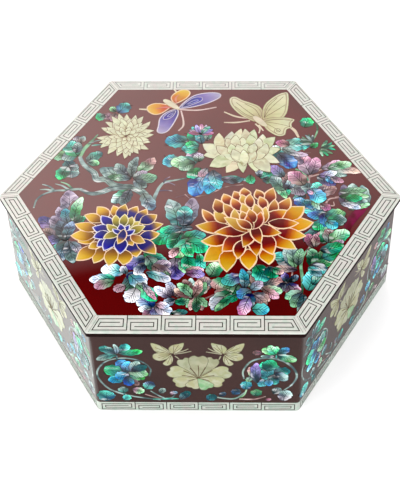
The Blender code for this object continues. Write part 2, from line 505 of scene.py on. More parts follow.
abaloneLook = {
    "cloudScale": 130, "stretch": (120, 300, 200), "paintedGlintFrom": 0.6, "paintedGlint": 0.5, "vary": 0.16,
    "hueScale": 150, "hueVary": 0.04, "gain": 1.0, "roughness": 0.3, "specular": 0.0, "coat": 0.34,
    "coatRoughness": 0.03,
}
pearlLook = dict(abaloneLook, cloudScale=260, paintedGlintFrom=0.7, paintedGlint=0.3, vary=0.08, hueVary=0.02, gain=1.14)
rimLook = dict(pearlLook, gain=1.35)
petalLook = dict(abaloneLook, cloudScale=400, paintedGlintFrom=0.8, paintedGlint=0.2, vary=0.07, hueVary=0.006, gain=1.1,
                 coat=0.2)
inkLook = dict(abaloneLook, paintedGlintFrom=0.9, paintedGlint=0.0, vary=0.1, hueVary=0.0, coat=0.16)
wallPearlLook = dict(pearlLook, gain=0.8, **wallGloss)
wallAbaloneLook = dict(abaloneLook, gain=1.0, **wallGloss)
edgeLook = dict(lacquerLook, colour=(30, 8, 7), coat=0.09, coatRoughness=0.25)
gapLook = dict(lacquerLook, colour=(34, 8, 8))

lacquer = makeLacquer("redLacquer", lacquerLook)
wallLacquer = makeLacquer("wallLacquer", wallLook)
edgeLacquer = makeLacquer("blackEdgeLacquer", edgeLook)
gapLacquer = makeLacquer("gapLacquer", gapLook)
ivory = makeIvory("ivoryShell", ivoryLook)
footIvory = makeIvory("footIvory", footLook)
abalone = makeShell("abaloneShell", abaloneLook)
pearl = makeShell("creamPearl", pearlLook)
rimShell = makeShell("rimShell", rimLook)
wallPearl = makeShell("wallPearl", wallPearlLook)
wallAbalone = makeShell("wallAbalone", wallAbaloneLook)
dyedShell = makeShell("dyedShell", petalLook)
ink = makeShell("engravedLines", inkLook)
print("materials made")

plain = paintOf((128, 128, 128))


# The nodes of the frame that carry a name and the side it stands on
def sixNodes(stem):
    return [f"{stem}_{side}" for side in sideNames]


# The body: walls and foot band. Next to each rounding a step holds the flat beside it flat.
wallForm = {"recess": 1.0, "overBand": 0.04, "round": 0.5, "beside": 0.9, "innerCorner": 0.2,
            "innerEase": 0.3, "innerBeside": 0.8}
footForm = {"thick": 0.8, "ease": 0.25, "lowFlat": 0.6, "highFlat": 0.3}


def makeWalls():
    s, w = boxSizes, wallForm
    outer, inner, top, r = s["wallApothem"], s["cavityApothem"], s["wallTop"], s["wallCorner"]
    recess, band, corner = w["recess"], s["footBand"], w["innerCorner"]
    steps = [(inner, corner, 0.0), (outer - recess, r - recess, 0.0),
             (outer - recess, r - recess, band + w["overBand"]), (outer, r, band + w["overBand"]),
             (outer, r, band + w["round"]), (outer, r, top - w["beside"])]
    steps += roundSteps(outer - w["round"], top - w["round"], w["round"], 0, 90, r)
    steps += [(outer - w["beside"], r - w["beside"], top), (inner + w["beside"], corner, top),
              (inner + w["innerEase"], corner, top), (inner, corner, top - w["innerEase"]),
              (inner, corner, top - w["innerBeside"])]
    buildLoft(steps, "wallsLacquer", wallLacquer, sixNodes("wall"))


def makeFootBand():
    s, f = boxSizes, footForm
    outer, r, top = s["wallApothem"], s["wallCorner"], s["footBand"]
    thick, ease = f["thick"], f["ease"]
    steps = [(outer - thick, r - thick, 0.0), (outer - ease, r - ease, 0.0), (outer, r, ease),
             (outer, r, f["lowFlat"]), (outer, r, top - f["highFlat"]), (outer, r, top),
             (outer - thick, r - thick, top)]
    buildLoft(steps, "footBand", footIvory, sixNodes("foot_border"))


# The lid: the lacquer field, the dark edge round and under it, and the band of shell between them
fieldForm = {"thick": 0.6, "over": 0.02, "corner": 0.1, "taper": 0.05, "beside": 0.3}
edgeForm = {"behind": 0.1, "beside": 0.4, "flat": 0.3}
bandForm = {"thick": 0.58, "over": 0.04, "corner": 0.1, "ease": (0.12, 0.1), "flat": 0.35, "beside": 0.7,
            "innerBeside": 0.3}


def makeLidBoard():
    s, f = boxSizes, fieldForm
    field, corner = s["lidApothem"] - s["lidBand"] + f["over"], f["corner"]
    steps = [(field - f["taper"], corner, s["lidUnder"] + f["over"], True),
             (field, corner, lidHeight - f["thick"], True), (field, corner, lidHeight, True),
             (field - f["beside"], corner, lidHeight, True)]
    buildLoft(steps, "lidLacquer", lacquer, ["lid_board"], ring=False)


def makeLidEdge():
    s, f = boxSizes, edgeForm
    a, under, c, r = s["lidApothem"], s["lidUnder"], s["lidCorner"], s["arris"]
    bandUnder = lidHeight - fieldForm["thick"]
    inner = a - s["lidBand"] - f["behind"]
    steps = [(inner, c, bandUnder, True), (inner, c, under, True), (a - r - f["beside"], c - r, under)]
    steps += roundSteps(a - r, under + r, r, -90, 0, c)
    steps += [(a, c, under + r + f["flat"]), (a, c, bandUnder)]
    buildLoft(steps, "lidEdge", edgeLacquer)


def makeLidBand():
    s, f = boxSizes, bandForm
    a, c, corner = s["lidApothem"], s["lidCorner"], f["corner"]
    inner = a - s["lidBand"] + f["over"]
    bottom, top = lidHeight - f["thick"], lidHeight + s["bandProud"]
    steps = [(inner, corner, bottom, True), (a, c, bottom), (a, c, top - f["flat"]),
             (a - f["ease"][0], c, top - f["ease"][1]), (a - f["flat"], c, top), (a - f["beside"], c, top),
             (inner + f["innerBeside"], corner, top, True), (inner, corner, top, True)]
    buildLoft(steps, "lidBand", ivory, sixNodes("lid_border"))


makeWalls()
makeFootBand()
makeLidBoard()
makeLidEdge()
makeLidBand()

# The fret. A side holds six meanders in three pairs, and each pair is joined at a divider. Rows are
# shares of the band's width, and at a mitre the meander leans with it, by its own slope at each end.
fretLook = {"pairs": 3, "rows": (0.16, 0.36, 0.60, 0.80), "line": 0.5, "level": 0.02, "gap": 1.9,
            "inset": 1.9, "short": 1.65, "margin": 3.1, "cornerGap": 2.2}
seamLook = {"inset": 1.0, "from": 0.5, "to": 0.6, "line": 0.2, "ink": (150, 142, 134)}     # at the mitres


def addFret(stock, plane, halfSide, bandWidth, leans, ink):
    look = fretLook
    r1, r2, r3, r4 = [row * bandWidth for row in look["rows"]]
    pitch = (halfSide - look["margin"]) / look["pairs"]
    gap, inset = look["gap"], look["inset"]
    paint = paintOf(ink)

    def draw(points):
        addLine(stock, plane, points, look["line"], look["level"], paint)

    for mirror, lean in zip((-1, 1), leans):
        for pair in range(look["pairs"]):
            divider = (2 * pair - look["pairs"] + 1) * pitch
            far = divider + mirror * pitch
            corner = abs(far) > halfSide - pitch * 0.5

            def outer(y):       # the far side of the meander, at row y
                edge = halfSide - lean * y - look["cornerGap"]
                return mirror * edge if corner else far - mirror * gap

            def inner(y):
                return outer(y) - mirror * inset

            near = divider + mirror * gap
            if mirror < 0:
                draw([(near + look["short"] * mirror, r3), (inner(r3), r3), (inner(r2), r2), (near, r2),
                      (near, r4), (outer(r4), r4), (outer(r1), r1), (divider, r1), (divider, bandWidth)])
            else:
                draw([(divider, r4), (outer(r4), r4), (outer(r1), r1), (near, r1), (near, r3),
                      (inner(r3), r3), (inner(r2), r2), (near + inset, r2)])
            if mirror > 0 and not corner:
                draw([(far, bandWidth), (far, r1)])


# Side by side from the front, the fret's ink is painted paler towards the back of the lid, a painted
# reflection of the sheen that washes the lines out there.
fretInksWithPaintedGlare = [(62, 56, 52), (70, 64, 60), (132, 130, 126), (172, 174, 174), (132, 130, 126), (70, 64, 60)]


def makeFrets():
    s, seam = boxSizes, seamLook
    lidHalf, wallHalf = s["lidApothem"] * slant, s["wallApothem"] * slant
    lidFret, footFret = newStock(), newStock()
    for k in range(6):
        wide = bandWidths[k]
        leans = [mitreRun(wide, bandWidths[(k + side) % 6]) / wide for side in (-1, 1)]
        addFret(lidFret, bandPlane(k), lidHalf, wide, leans, fretInksWithPaintedGlare[k])
        addFret(footFret, wallPlane(k), wallHalf, s["footBand"], (0.0, 0.0), fretInksWithPaintedGlare[1])
        for side, lean in zip((-1, 1), leans):
            rows = (seam["from"], wide - seam["to"])
            ends = [(side * (lidHalf - seam["inset"] - y * lean), y) for y in rows]
            addLine(lidFret, bandPlane(k), ends, seam["line"], fretLook["level"], paintOf(seam["ink"]))
    buildPiece(lidFret, "lidFret", ink)
    buildPiece(footFret, "footFret", ink)


makeFrets()

# A petal is a rim of pale shell with a coloured plate let into it, which stands in from the rim by
# about a line's width, and by more at the tip. Rings of petals rise from the level by ring steps.
petalSizes = {"level": 0.14, "ringStep": 0.026, "step": 0.004, "nudge": 0.0004, "tipLines": 1.7,
              "sideLines": 2.2}


def addPetal(rims, fills, plane, start, end, width, level, rim, fill, bend, swell, line):
    p = petalSizes
    start, end = np.asarray(start, float), np.asarray(end, float)
    unit = (end - start) / np.hypot(*(end - start))
    addBlade(rims, plane, start, end, width, level, rim, bend, swell)
    addBlade(fills, plane, start + unit * line, end - unit * line * p["tipLines"],
             width - p["sideLines"] * line, level + p["step"], fill, bend, swell)


# The level of petal i of ring r. The layers within a ring and the nudge keep any two plates apart.
def petalLevel(r, i, layers):
    p = petalSizes
    return p["level"] + r * p["ringStep"] + i % layers * 2 * p["step"] + i * p["nudge"]


# A petal's paint clouds into its own colour, or into the flower's glow where it has one.
def petalPaint(u, fill, glow, cut, dim):
    return paintOf(colourRun(u, fill) * dim, glow, cut)


# A chrysanthemum is rings of petals, the outermost lowest. Petal i of a ring of n points to the
# angle turn + 360 i / n. Its tip lies at the ring's reach, made longer on the side that droops. The
# petals at the back are painted darker by "dim", a painted shade for the weaker light they catch,
# and each one strays a little from its place.
def addChrysanthemum(rims, fills, plane, flower, rng):
    centre = np.array(flower["centre"], float)
    droop, droopAngle = flower["droop"], math.radians(flower["droopAngle"])
    stray, bend, rim = flower["stray"], flower["bend"], flower["rim"]
    for r, (count, turn, reach, root, width) in enumerate(flower["rings"]):
        for i in range(count):
            angle = math.radians(turn + 360 * i / count + rng.uniform(-stray, stray))
            way = np.array([math.cos(angle), math.sin(angle) * flower["squash"]])
            far = reach * (1 + droop * math.cos(angle - droopAngle)) * rng.uniform(*flower["lengths"])
            cut = rng.uniform(0, 3)
            # painted shade: petals that point to the back are darkened, rim and fill alike
            dim = 1 - flower["dim"] * max(math.sin(angle), 0) * reach / flower["rings"][0][2]
            addPetal(rims, fills, plane, centre + way * root, centre + way * far, width, petalLevel(r, i, 2),
                     paintOf(np.array(rim) * (1 + dim) / 2, cut=cut),
                     lambda u: petalPaint(u, flower["fill"], flower["glow"], cut, dim),
                     rng.uniform(-bend, bend), flower["swell"], flower["line"])


# Runs of colour from a petal's base to its tip, and the rims' colours
goldRim, pinkRim, blueRim, oliveRim = (255, 222, 180), (252, 208, 176), (236, 232, 246), (244, 236, 190)
narrowRim, broadRim = (150, 112, 92), (130, 84, 66)
gold = [(0.0, (110, 4, 0)), (0.36, (140, 14, 0)), (0.56, (222, 116, 8)), (0.72, (246, 182, 32)),
        (1.0, (255, 224, 96))]
amber = [(0.0, (92, 0, 0)), (0.5, (120, 0, 0)), (0.66, (176, 50, 4)), (0.82, (240, 156, 24)),
         (1.0, (255, 212, 80))]
ember = [(0.0, (90, 0, 0)), (0.5, (132, 10, 0)), (0.78, (200, 84, 8)), (1.0, (242, 170, 52))]
azure = [(0.0, (0, 0, 70)), (0.5, (6, 6, 140)), (0.8, (26, 26, 170)), (1.0, (110, 104, 196))]
honey = [(0.0, (110, 60, 20)), (0.34, (176, 118, 26)), (0.56, (230, 176, 40)), (0.8, (252, 208, 70)),
         (1.0, (244, 214, 110))]
duskHoney = [(0.0, (6, 6, 96)), (0.5, (36, 32, 132)), (0.64, (124, 92, 96)), (0.76, (216, 160, 44)),
             (1.0, (250, 210, 92))]
olive = [(0.0, (60, 66, 50)), (0.5, (166, 150, 44)), (1.0, (240, 218, 110))]
# The cream run is darker at the petal's base: a painted shade near the root, under the petals that lie over
# it.
creamFillShadedAtRoot = [(0.0, (168, 148, 108)), (0.35, (218, 214, 172)), (1.0, (243, 247, 216))]
creamGlow = (240, 246, 206)
ochre = [(0.0, (96, 12, 6)), (0.4, (146, 46, 22)), (0.62, (206, 116, 44)), (0.8, (232, 170, 80)),
         (1.0, (250, 206, 110))]
straw = [(0.0, (140, 56, 20)), (0.4, (206, 142, 44)), (1.0, (246, 216, 110))]
sun = [(0.0, (150, 30, 0)), (0.3, (214, 112, 4)), (0.5, (238, 162, 16)), (1.0, (255, 214, 70))]


def tinted(run, gains):
    return [(u, np.array(colour) * gains) for u, colour in run]


petalKinds = {
    "sun": (sun, goldRim), "gold": (gold, goldRim), "amber": (amber, goldRim), "ember": (ember, pinkRim),
    "ochre": (ochre, goldRim), "straw": (straw, goldRim), "azure": (azure, blueRim),
    "dusk": (duskHoney, goldRim), "honey": (honey, goldRim), "olive": (olive, oliveRim),
    "pearl": (creamFillShadedAtRoot, broadRim), "blush": (tinted(creamFillShadedAtRoot, (1.03, 0.985, 0.97)), broadRim),
    "mint": (tinted(creamFillShadedAtRoot, (0.965, 1.02, 0.94)), broadRim),
    "white": (tinted(creamFillShadedAtRoot, (1.03, 1.03, 1.08)), broadRim),
}
flowerForm = {"dim": (0.92, 1.04), "bend": 0.08}
# Petals by layers from the lowest: x and y of the base, x and y of the tip, width, kind
orangeFlower = {
    "swell": (0.8, 1.0), "line": 0.52, "grow": 1.08, "glow": None, "tuck": 0.3, "layers": [
        [(8, -19, 1.6, -9.6, 5.8, "ochre"), (12.5, -22, -1.6, -21.8, 8.8, "gold"),
         (13, -31, 1.4, -33.2, 8.4, "gold"), (16.5, -36.5, 3, -47.6, 12.4, "sun"),
         (17.2, -42, 15.4, -55, 9.2, "sun"), (26.6, -42, 27, -53.6, 8.8, "sun"),
         (35, -41, 37.4, -49.8, 8.2, "sun"), (39.4, -30, 52, -38.8, 9.2, "gold"),
         (44.8, -26.4, 57.6, -29.4, 8.4, "gold"), (49, -20, 61.8, -19.4, 10, "sun"),
         (46.6, -14, 57.2, -7.6, 10, "sun"), (43.6, -10, 49.4, -0.8, 7.2, "ochre"),
         (38.6, -4, 40.6, 6.6, 7, "ochre"), (33, -1.4, 31, 5.2, 6, "ochre"),
         (26.2, 0, 24.2, 6.6, 6.4, "ochre"), (20.6, -2.4, 18.8, 4, 5.6, "ochre"),
         (16, -5, 13.2, 2, 6.4, "ochre"), (10.8, -11, 8.6, -2, 7, "ochre")],
        [(13.4, -18.4, 8, -11.6, 6.8, "straw"), (17.6, -15, 13, -5.4, 6.4, "ochre"),
         (21.2, -9, 17.6, -1.2, 6, "ochre"), (24.4, -5.4, 23, 1.6, 5.2, "straw"),
         (28.2, -6.6, 27.8, 2, 5.6, "ochre"), (34.8, -7.8, 32.8, 0, 5.6, "ochre"),
         (39.4, -12, 41.2, -2, 6, "ochre"), (37.6, -19, 47.8, -10.4, 9, "amber"),
         (41, -19.8, 54, -20, 7.6, "amber"), (36, -30.6, 39.6, -43, 9, "amber"),
         (29, -31.8, 31, -44, 7.2, "amber"), (22.6, -35.6, 21, -46, 6.8, "amber"),
         (21, -31, 12.6, -40.6, 10, "ember")],
        [(20.6, -19, 19.2, -9.2, 5.4, "straw"), (25, -14.4, 23.4, -5, 5.6, "straw"),
         (32.4, -15, 30.2, -5.6, 6, "straw"), (35.6, -17.4, 36.2, -7.8, 5.4, "straw"),
         (32, -23.4, 44.4, -27.4, 8.4, "amber"), (30.6, -24, 33.4, -35.2, 6.4, "amber"),
         (27, -26.4, 23.8, -37.8, 7.4, "amber"), (23.4, -25.4, 8.4, -27, 8, "amber"),
         (23.6, -24.4, 13.4, -15.8, 7, "straw")],
        [(25.4, -18, 23, -11, 5.6, "ochre"), (29.4, -17.6, 27.4, -9.4, 6, "ochre"),
         (26.6, -23, 20, -17.4, 6, "ochre"), (30.4, -21.6, 33.6, -11.4, 5.8, "ember"),
         (28.6, -22.4, 26, -14, 5.2, "ember")],
    ],
}
blueFlower = {
    "swell": (0.8, 0.96), "line": 0.4, "grow": 1.08, "glow": None, "tuck": 0.3, "layers": [
        [(-51, -15, -55.6, -8, 7, "honey"), (-44.8, -14.4, -46.8, -7, 5.8, "honey"),
         (-41.6, -15.6, -40, -6, 6.6, "dusk"), (-36.8, -15.6, -33.2, -7.6, 6.4, "dusk"),
         (-32.8, -17, -28.2, -9.6, 6, "dusk"), (-29.4, -19, -22.4, -14, 7.2, "dusk"),
         (-29, -23.8, -18.8, -20.8, 6.2, "dusk"), (-29, -29.4, -20.4, -27.8, 6.8, "dusk"),
         (-30.4, -34.6, -22, -42.6, 8, "dusk"), (-34.8, -36.4, -32, -44.6, 8.4, "dusk"),
         (-39.2, -42, -38.8, -50.4, 8, "honey"), (-45.2, -41, -46.4, -51, 7.2, "honey"),
         (-51.6, -40, -54.4, -49, 7.2, "honey"), (-57, -38.6, -64, -47, 8.2, "honey"),
         (-53.4, -35.4, -58, -38.4, 5.4, "honey"), (-56.8, -32, -64, -34, 6, "honey"),
         (-58, -28.8, -68.2, -29.4, 8, "honey"), (-56.4, -23.6, -66.6, -20.8, 6.8, "honey"),
         (-54.6, -18.4, -62, -14.4, 6.6, "honey")],
        [(-47.4, -20.4, -52.8, -14.6, 6, "azure"), (-48.8, -24.6, -57, -23.2, 6.8, "azure"),
         (-49.2, -28.2, -56, -30.8, 6.4, "azure"), (-48.6, -32.6, -53.6, -37.4, 5.6, "azure"),
         (-44.8, -32, -49.6, -40.4, 7, "azure"), (-41, -33, -40.8, -42.6, 7, "azure"),
         (-38.2, -29.2, -34.4, -36.8, 6.2, "dusk"), (-34, -30, -27.8, -34.4, 5.6, "straw"),
         (-34.8, -26.8, -28.4, -22.4, 5.6, "olive"), (-36.6, -24.6, -31.8, -18.8, 5.6, "olive"),
         (-38.6, -22, -35.8, -15.4, 5.4, "olive"), (-40.8, -21, -40, -13.4, 5, "olive"),
         (-43.4, -21.4, -45, -14, 4.8, "olive")],
        [(-43.6, -26, -49.4, -21, 5, "olive"), (-43.6, -28, -50.6, -31.6, 5.2, "olive"),
         (-41.6, -26.8, -42.2, -20.6, 4.4, "azure"), (-40.6, -27.4, -37, -21.4, 4, "azure"),
         (-39, -27.8, -33.8, -25, 4, "azure")],
        [(-41.4, -27.2, -46.2, -24.4, 3.4, "azure"), (-40.6, -27.2, -42.6, -35.6, 5, "dusk")],
    ],
}
# Its rings: number of petals, turn, reach, root, width
narrowCream = {
    "centre": (-42.8, 47.5), "droop": 0.03, "droopAngle": 90, "squash": 1.14, "stray": 5,
    "lengths": (0.93, 1.05), "bend": 0.12, "swell": (0.8, 1.0), "line": 0.2, "dim": 0.04, "rim": narrowRim,
    "fill": creamFillShadedAtRoot, "glow": creamGlow, "rings": [
        (20, 0, 16.4, 6, 4.4), (18, 8, 13.6, 5, 4.2), (14, 3, 10.6, 3, 4.0), (10, 9, 7.4, 2, 3.6),
        (6, 0, 4.6, 0.5, 2.8)],
}
broadCream = {
    "swell": (0.8, 0.9), "line": 0.22, "grow": 1.1, "glow": creamGlow, "tuck": 0.6, "layers": [
        [(11, 33.4, 1.4, 31.6, 7.4, "pearl"), (9, 36, 0.8, 41.2, 8, "white"),
         (10.8, 41, 10.2, 50.4, 6, "blush"), (14.8, 42, 17.6, 51.8, 6.6, "white"),
         (20.8, 44, 23, 54, 5.6, "blush"), (26, 45, 25, 53.8, 5.6, "blush"),
         (28.8, 43.6, 30.4, 53.4, 6.2, "mint"), (34, 41.6, 35.2, 49.4, 5.6, "white"),
         (36.8, 38.8, 42.4, 47, 7, "mint"), (36.8, 33.4, 45.2, 37.2, 6.6, "mint"),
         (36.8, 32, 44.6, 25.8, 6.4, "white"), (34, 27.4, 39.2, 18.4, 8.2, "pearl"),
         (28.8, 27.4, 31.2, 18.4, 7, "mint"), (18.8, 28.8, 14.4, 17.8, 8.4, "blush"),
         (13.4, 29.4, 5, 22.8, 9, "mint")],
        [(14, 34, 8.8, 39.8, 6, "blush"), (16.8, 39.8, 14.4, 46, 5.6, "blush"),
         (20.6, 41, 20, 48.6, 5.6, "pearl"), (24.2, 40, 23.8, 47, 5.6, "blush"),
         (28, 42, 27.6, 48.8, 6, "mint"), (32, 40, 33, 46.2, 5, "white"),
         (33.4, 34, 37.4, 41.6, 6, "pearl"), (30.8, 31.4, 37, 33.2, 5.4, "blush"),
         (23.8, 28.8, 24, 17.6, 5.6, "mint"), (18.8, 29.4, 12.6, 32.8, 5, "pearl")],
        [(17.2, 35.4, 17, 41.4, 5.2, "mint"), (22, 35.4, 20.4, 41, 5, "blush"),
         (28.6, 36.6, 30.6, 41.8, 5.2, "pearl"), (25.4, 35.4, 26.2, 41.8, 5.4, "mint"),
         (27.2, 29.4, 30.6, 36.2, 5.6, "blush"), (20.8, 29.8, 18, 37, 5.8, "pearl")],
        [(24, 28.2, 24, 36.8, 5.2, "mint")],
    ],
}


# A drawn flower's petals start a share "tuck" of their length below the layer over them.
def addDrawnFlower(rims, fills, plane, flower, rng):
    bend = flowerForm["bend"]
    for r, layer in enumerate(flower["layers"]):
        for i, (x0, y0, x1, y1, width, kind) in enumerate(layer):
            base, tip = np.array([x0, y0], float), np.array([x1, y1], float)
            run, rim = petalKinds[kind]
            cut = rng.uniform(0, 3)
            dim = rng.uniform(*flowerForm["dim"])
            addPetal(rims, fills, plane, base - (tip - base) * flower["tuck"], tip, width * flower["grow"],
                     petalLevel(r, i, 3), paintOf(rim, cut=cut),
                     lambda u: petalPaint(u, run, flower["glow"], cut, dim),
                     rng.uniform(-bend, bend), flower["swell"], flower["line"])


def makeFlowers():
    rng = np.random.default_rng(11)
    rims, fills = newStock(), newStock()
    for flower in (orangeFlower, blueFlower):
        addDrawnFlower(rims, fills, lidPlane, flower, rng)
    buildPiece(rims, "flowerRims", rimShell)
    buildPiece(fills, "flowerPetals", dyedShell)
    rims, fills = newStock(), newStock()
    addChrysanthemum(rims, fills, lidPlane, narrowCream, rng)
    addDrawnFlower(rims, fills, lidPlane, broadCream, rng)
    buildPiece(rims, "creamPetalLines", ink)
    buildPiece(fills, "creamPetals", pearl)


makeFlowers()

# Shell hues by name: the colour of the plate and the colour it clouds into
shellHues = {
    "emerald": ((0, 128, 84), (60, 250, 176)), "deepGreen": ((0, 66, 52), (30, 196, 136)),
    "teal": ((0, 96, 104), (104, 236, 216)), "cyan": ((8, 148, 184), (120, 244, 250)),
    "blue": ((4, 56, 150), (86, 190, 240)), "slate": ((34, 58, 84), (136, 176, 196)),
    "violet": ((56, 46, 124), (178, 160, 232)), "mauve": ((96, 84, 112), (200, 184, 204)),
    "pink": ((176, 104, 140), (244, 196, 214)), "rose": ((130, 92, 92), (226, 192, 182)),
    "moss": ((46, 104, 74), (160, 230, 176)), "grey": ((78, 112, 112), (190, 222, 214)),
    "lime": ((54, 170, 100), (206, 255, 212)), "silver": ((180, 202, 232), (300, 300, 306)),
    "shadow": ((8, 28, 34), (54, 116, 120)),
    "cream": ((223, 226, 171), (239, 243, 205)), "dusk": ((203, 207, 164), (222, 226, 188)),
    "frost": ((176, 236, 166), (226, 255, 212)), "crimsonSheen": ((104, 4, 34), (146, 18, 78)),
}
veinInk = (8, 10, 12)


# A lobe of a leaf is one blade. Its hues run from the first at its base to the last at its tip, and it
# brightens on the way. It lies on a dark seam a little larger, and carries a middle vein with pairs of
# slanting side veins. Widths of veins are in millimetres, and their places are shares of the lobe.
lobeForm = {"bend": 0.1, "wave": 0.1, "rows": 17, "bright": (0.82, 1.2), "edge": 1.2,
            "places": (0.0, 0.3, 0.7, 1.0), "shades": (0.5, 0.92, 1.1, 1.3), "opening": 0.6,
            "closing": (0.46, 0.68)}
lobeVein = {"root": 0.42, "tip": 0.16, "side": 0.24, "reach": 0.9, "lift": 0.003, "least": 2.4,
            "leastSide": 3.4, "long": 9, "pairs": (3, 4), "span": (0.18, 0.72), "sideReach": (0.6, 0.85),
            "slant": 1.1, "sideUnder": 0.001}
leafSeam = {"wide": 0.24, "under": 0.0035}


def addLobe(stocks, plane, base, tip, width, hues, level, rng, ink=veinInk, closing=lobeForm["closing"]):
    form, look = lobeForm, lobeVein
    shells, veins, seams = stocks
    swell = (form["opening"], rng.uniform(*closing))
    base, tip = np.asarray(base, float), np.asarray(tip, float)
    first, last = shellHues[hues[0]], shellHues[hues[-1]]
    bend = rng.uniform(-1, 1) * form["bend"]
    cut, phase = rng.uniform(0, 3), rng.uniform(0, 6.28)
    bright = rng.uniform(*form["bright"])

    def paint(u):
        shade = bright * np.interp(u, form["places"], form["shades"])[:, None]
        runs = [colourRun(u, [(0.2, first[k]), (0.7, last[k])]) * shade for k in (0, 1)]
        return paintOf(*runs, cut)

    addBlade(shells, plane, base, tip, width, level, paint, bend, swell, form["wave"], phase, form["edge"],
             form["rows"])
    along = tip - base
    length = math.hypot(*along)
    unit = along / length
    left = np.array([-unit[1], unit[0]])
    wide = leafSeam["wide"]
    addBlade(seams, plane, base - unit * wide, tip + unit * wide, width + 2 * wide, level - leafSeam["under"],
             plain, bend, swell, form["wave"], phase, 1.0, form["rows"])
    if width < look["least"]:
        return
    over = level + look["lift"]

    def spine(u):
        return base + u * along + 4 * bend * u * (1 - u) * length * left

    vein = np.array([spine(u) for u in np.linspace(0, look["reach"], 7)])
    half = np.linspace(look["root"], look["tip"], len(vein)) / 2
    addStrip(veins, plane, vein, half, over, paintOf(ink), wide=False)
    if width < look["leastSide"]:
        return
    pairs = look["pairs"][0] if length < look["long"] else look["pairs"][1]
    for i, share in enumerate(np.linspace(*look["span"], 2 * pairs)):
        side = 1 if i % 2 else -1
        far = width / 2 * swelling(share, *swell) * rng.uniform(*look["sideReach"])
        foot = spine(share)
        addLine(veins, plane, [foot, foot + far * (look["slant"] * unit + side * left)], look["side"],
                over - look["sideUnder"], paintOf(ink))


# A fan of narrow blades round a base, from one angle to another in degrees, longest in the middle
fanForm = {"least": 0.86, "more": 0.14, "step": 0.006}


def addFan(stocks, plane, base, angles, count, length, width, hues, level, rng):
    form = fanForm
    for i, angle in enumerate(np.linspace(*angles, count)):
        way = np.array([math.cos(math.radians(angle)), math.sin(math.radians(angle))])
        share = form["least"] + form["more"] * math.sin(math.pi * i / max(count - 1, 1))
        tip = np.asarray(base, float) + way * length * share
        addLobe(stocks, plane, base, tip, width, (hues[i % len(hues)],), level + form["step"] * (i % 3), rng)


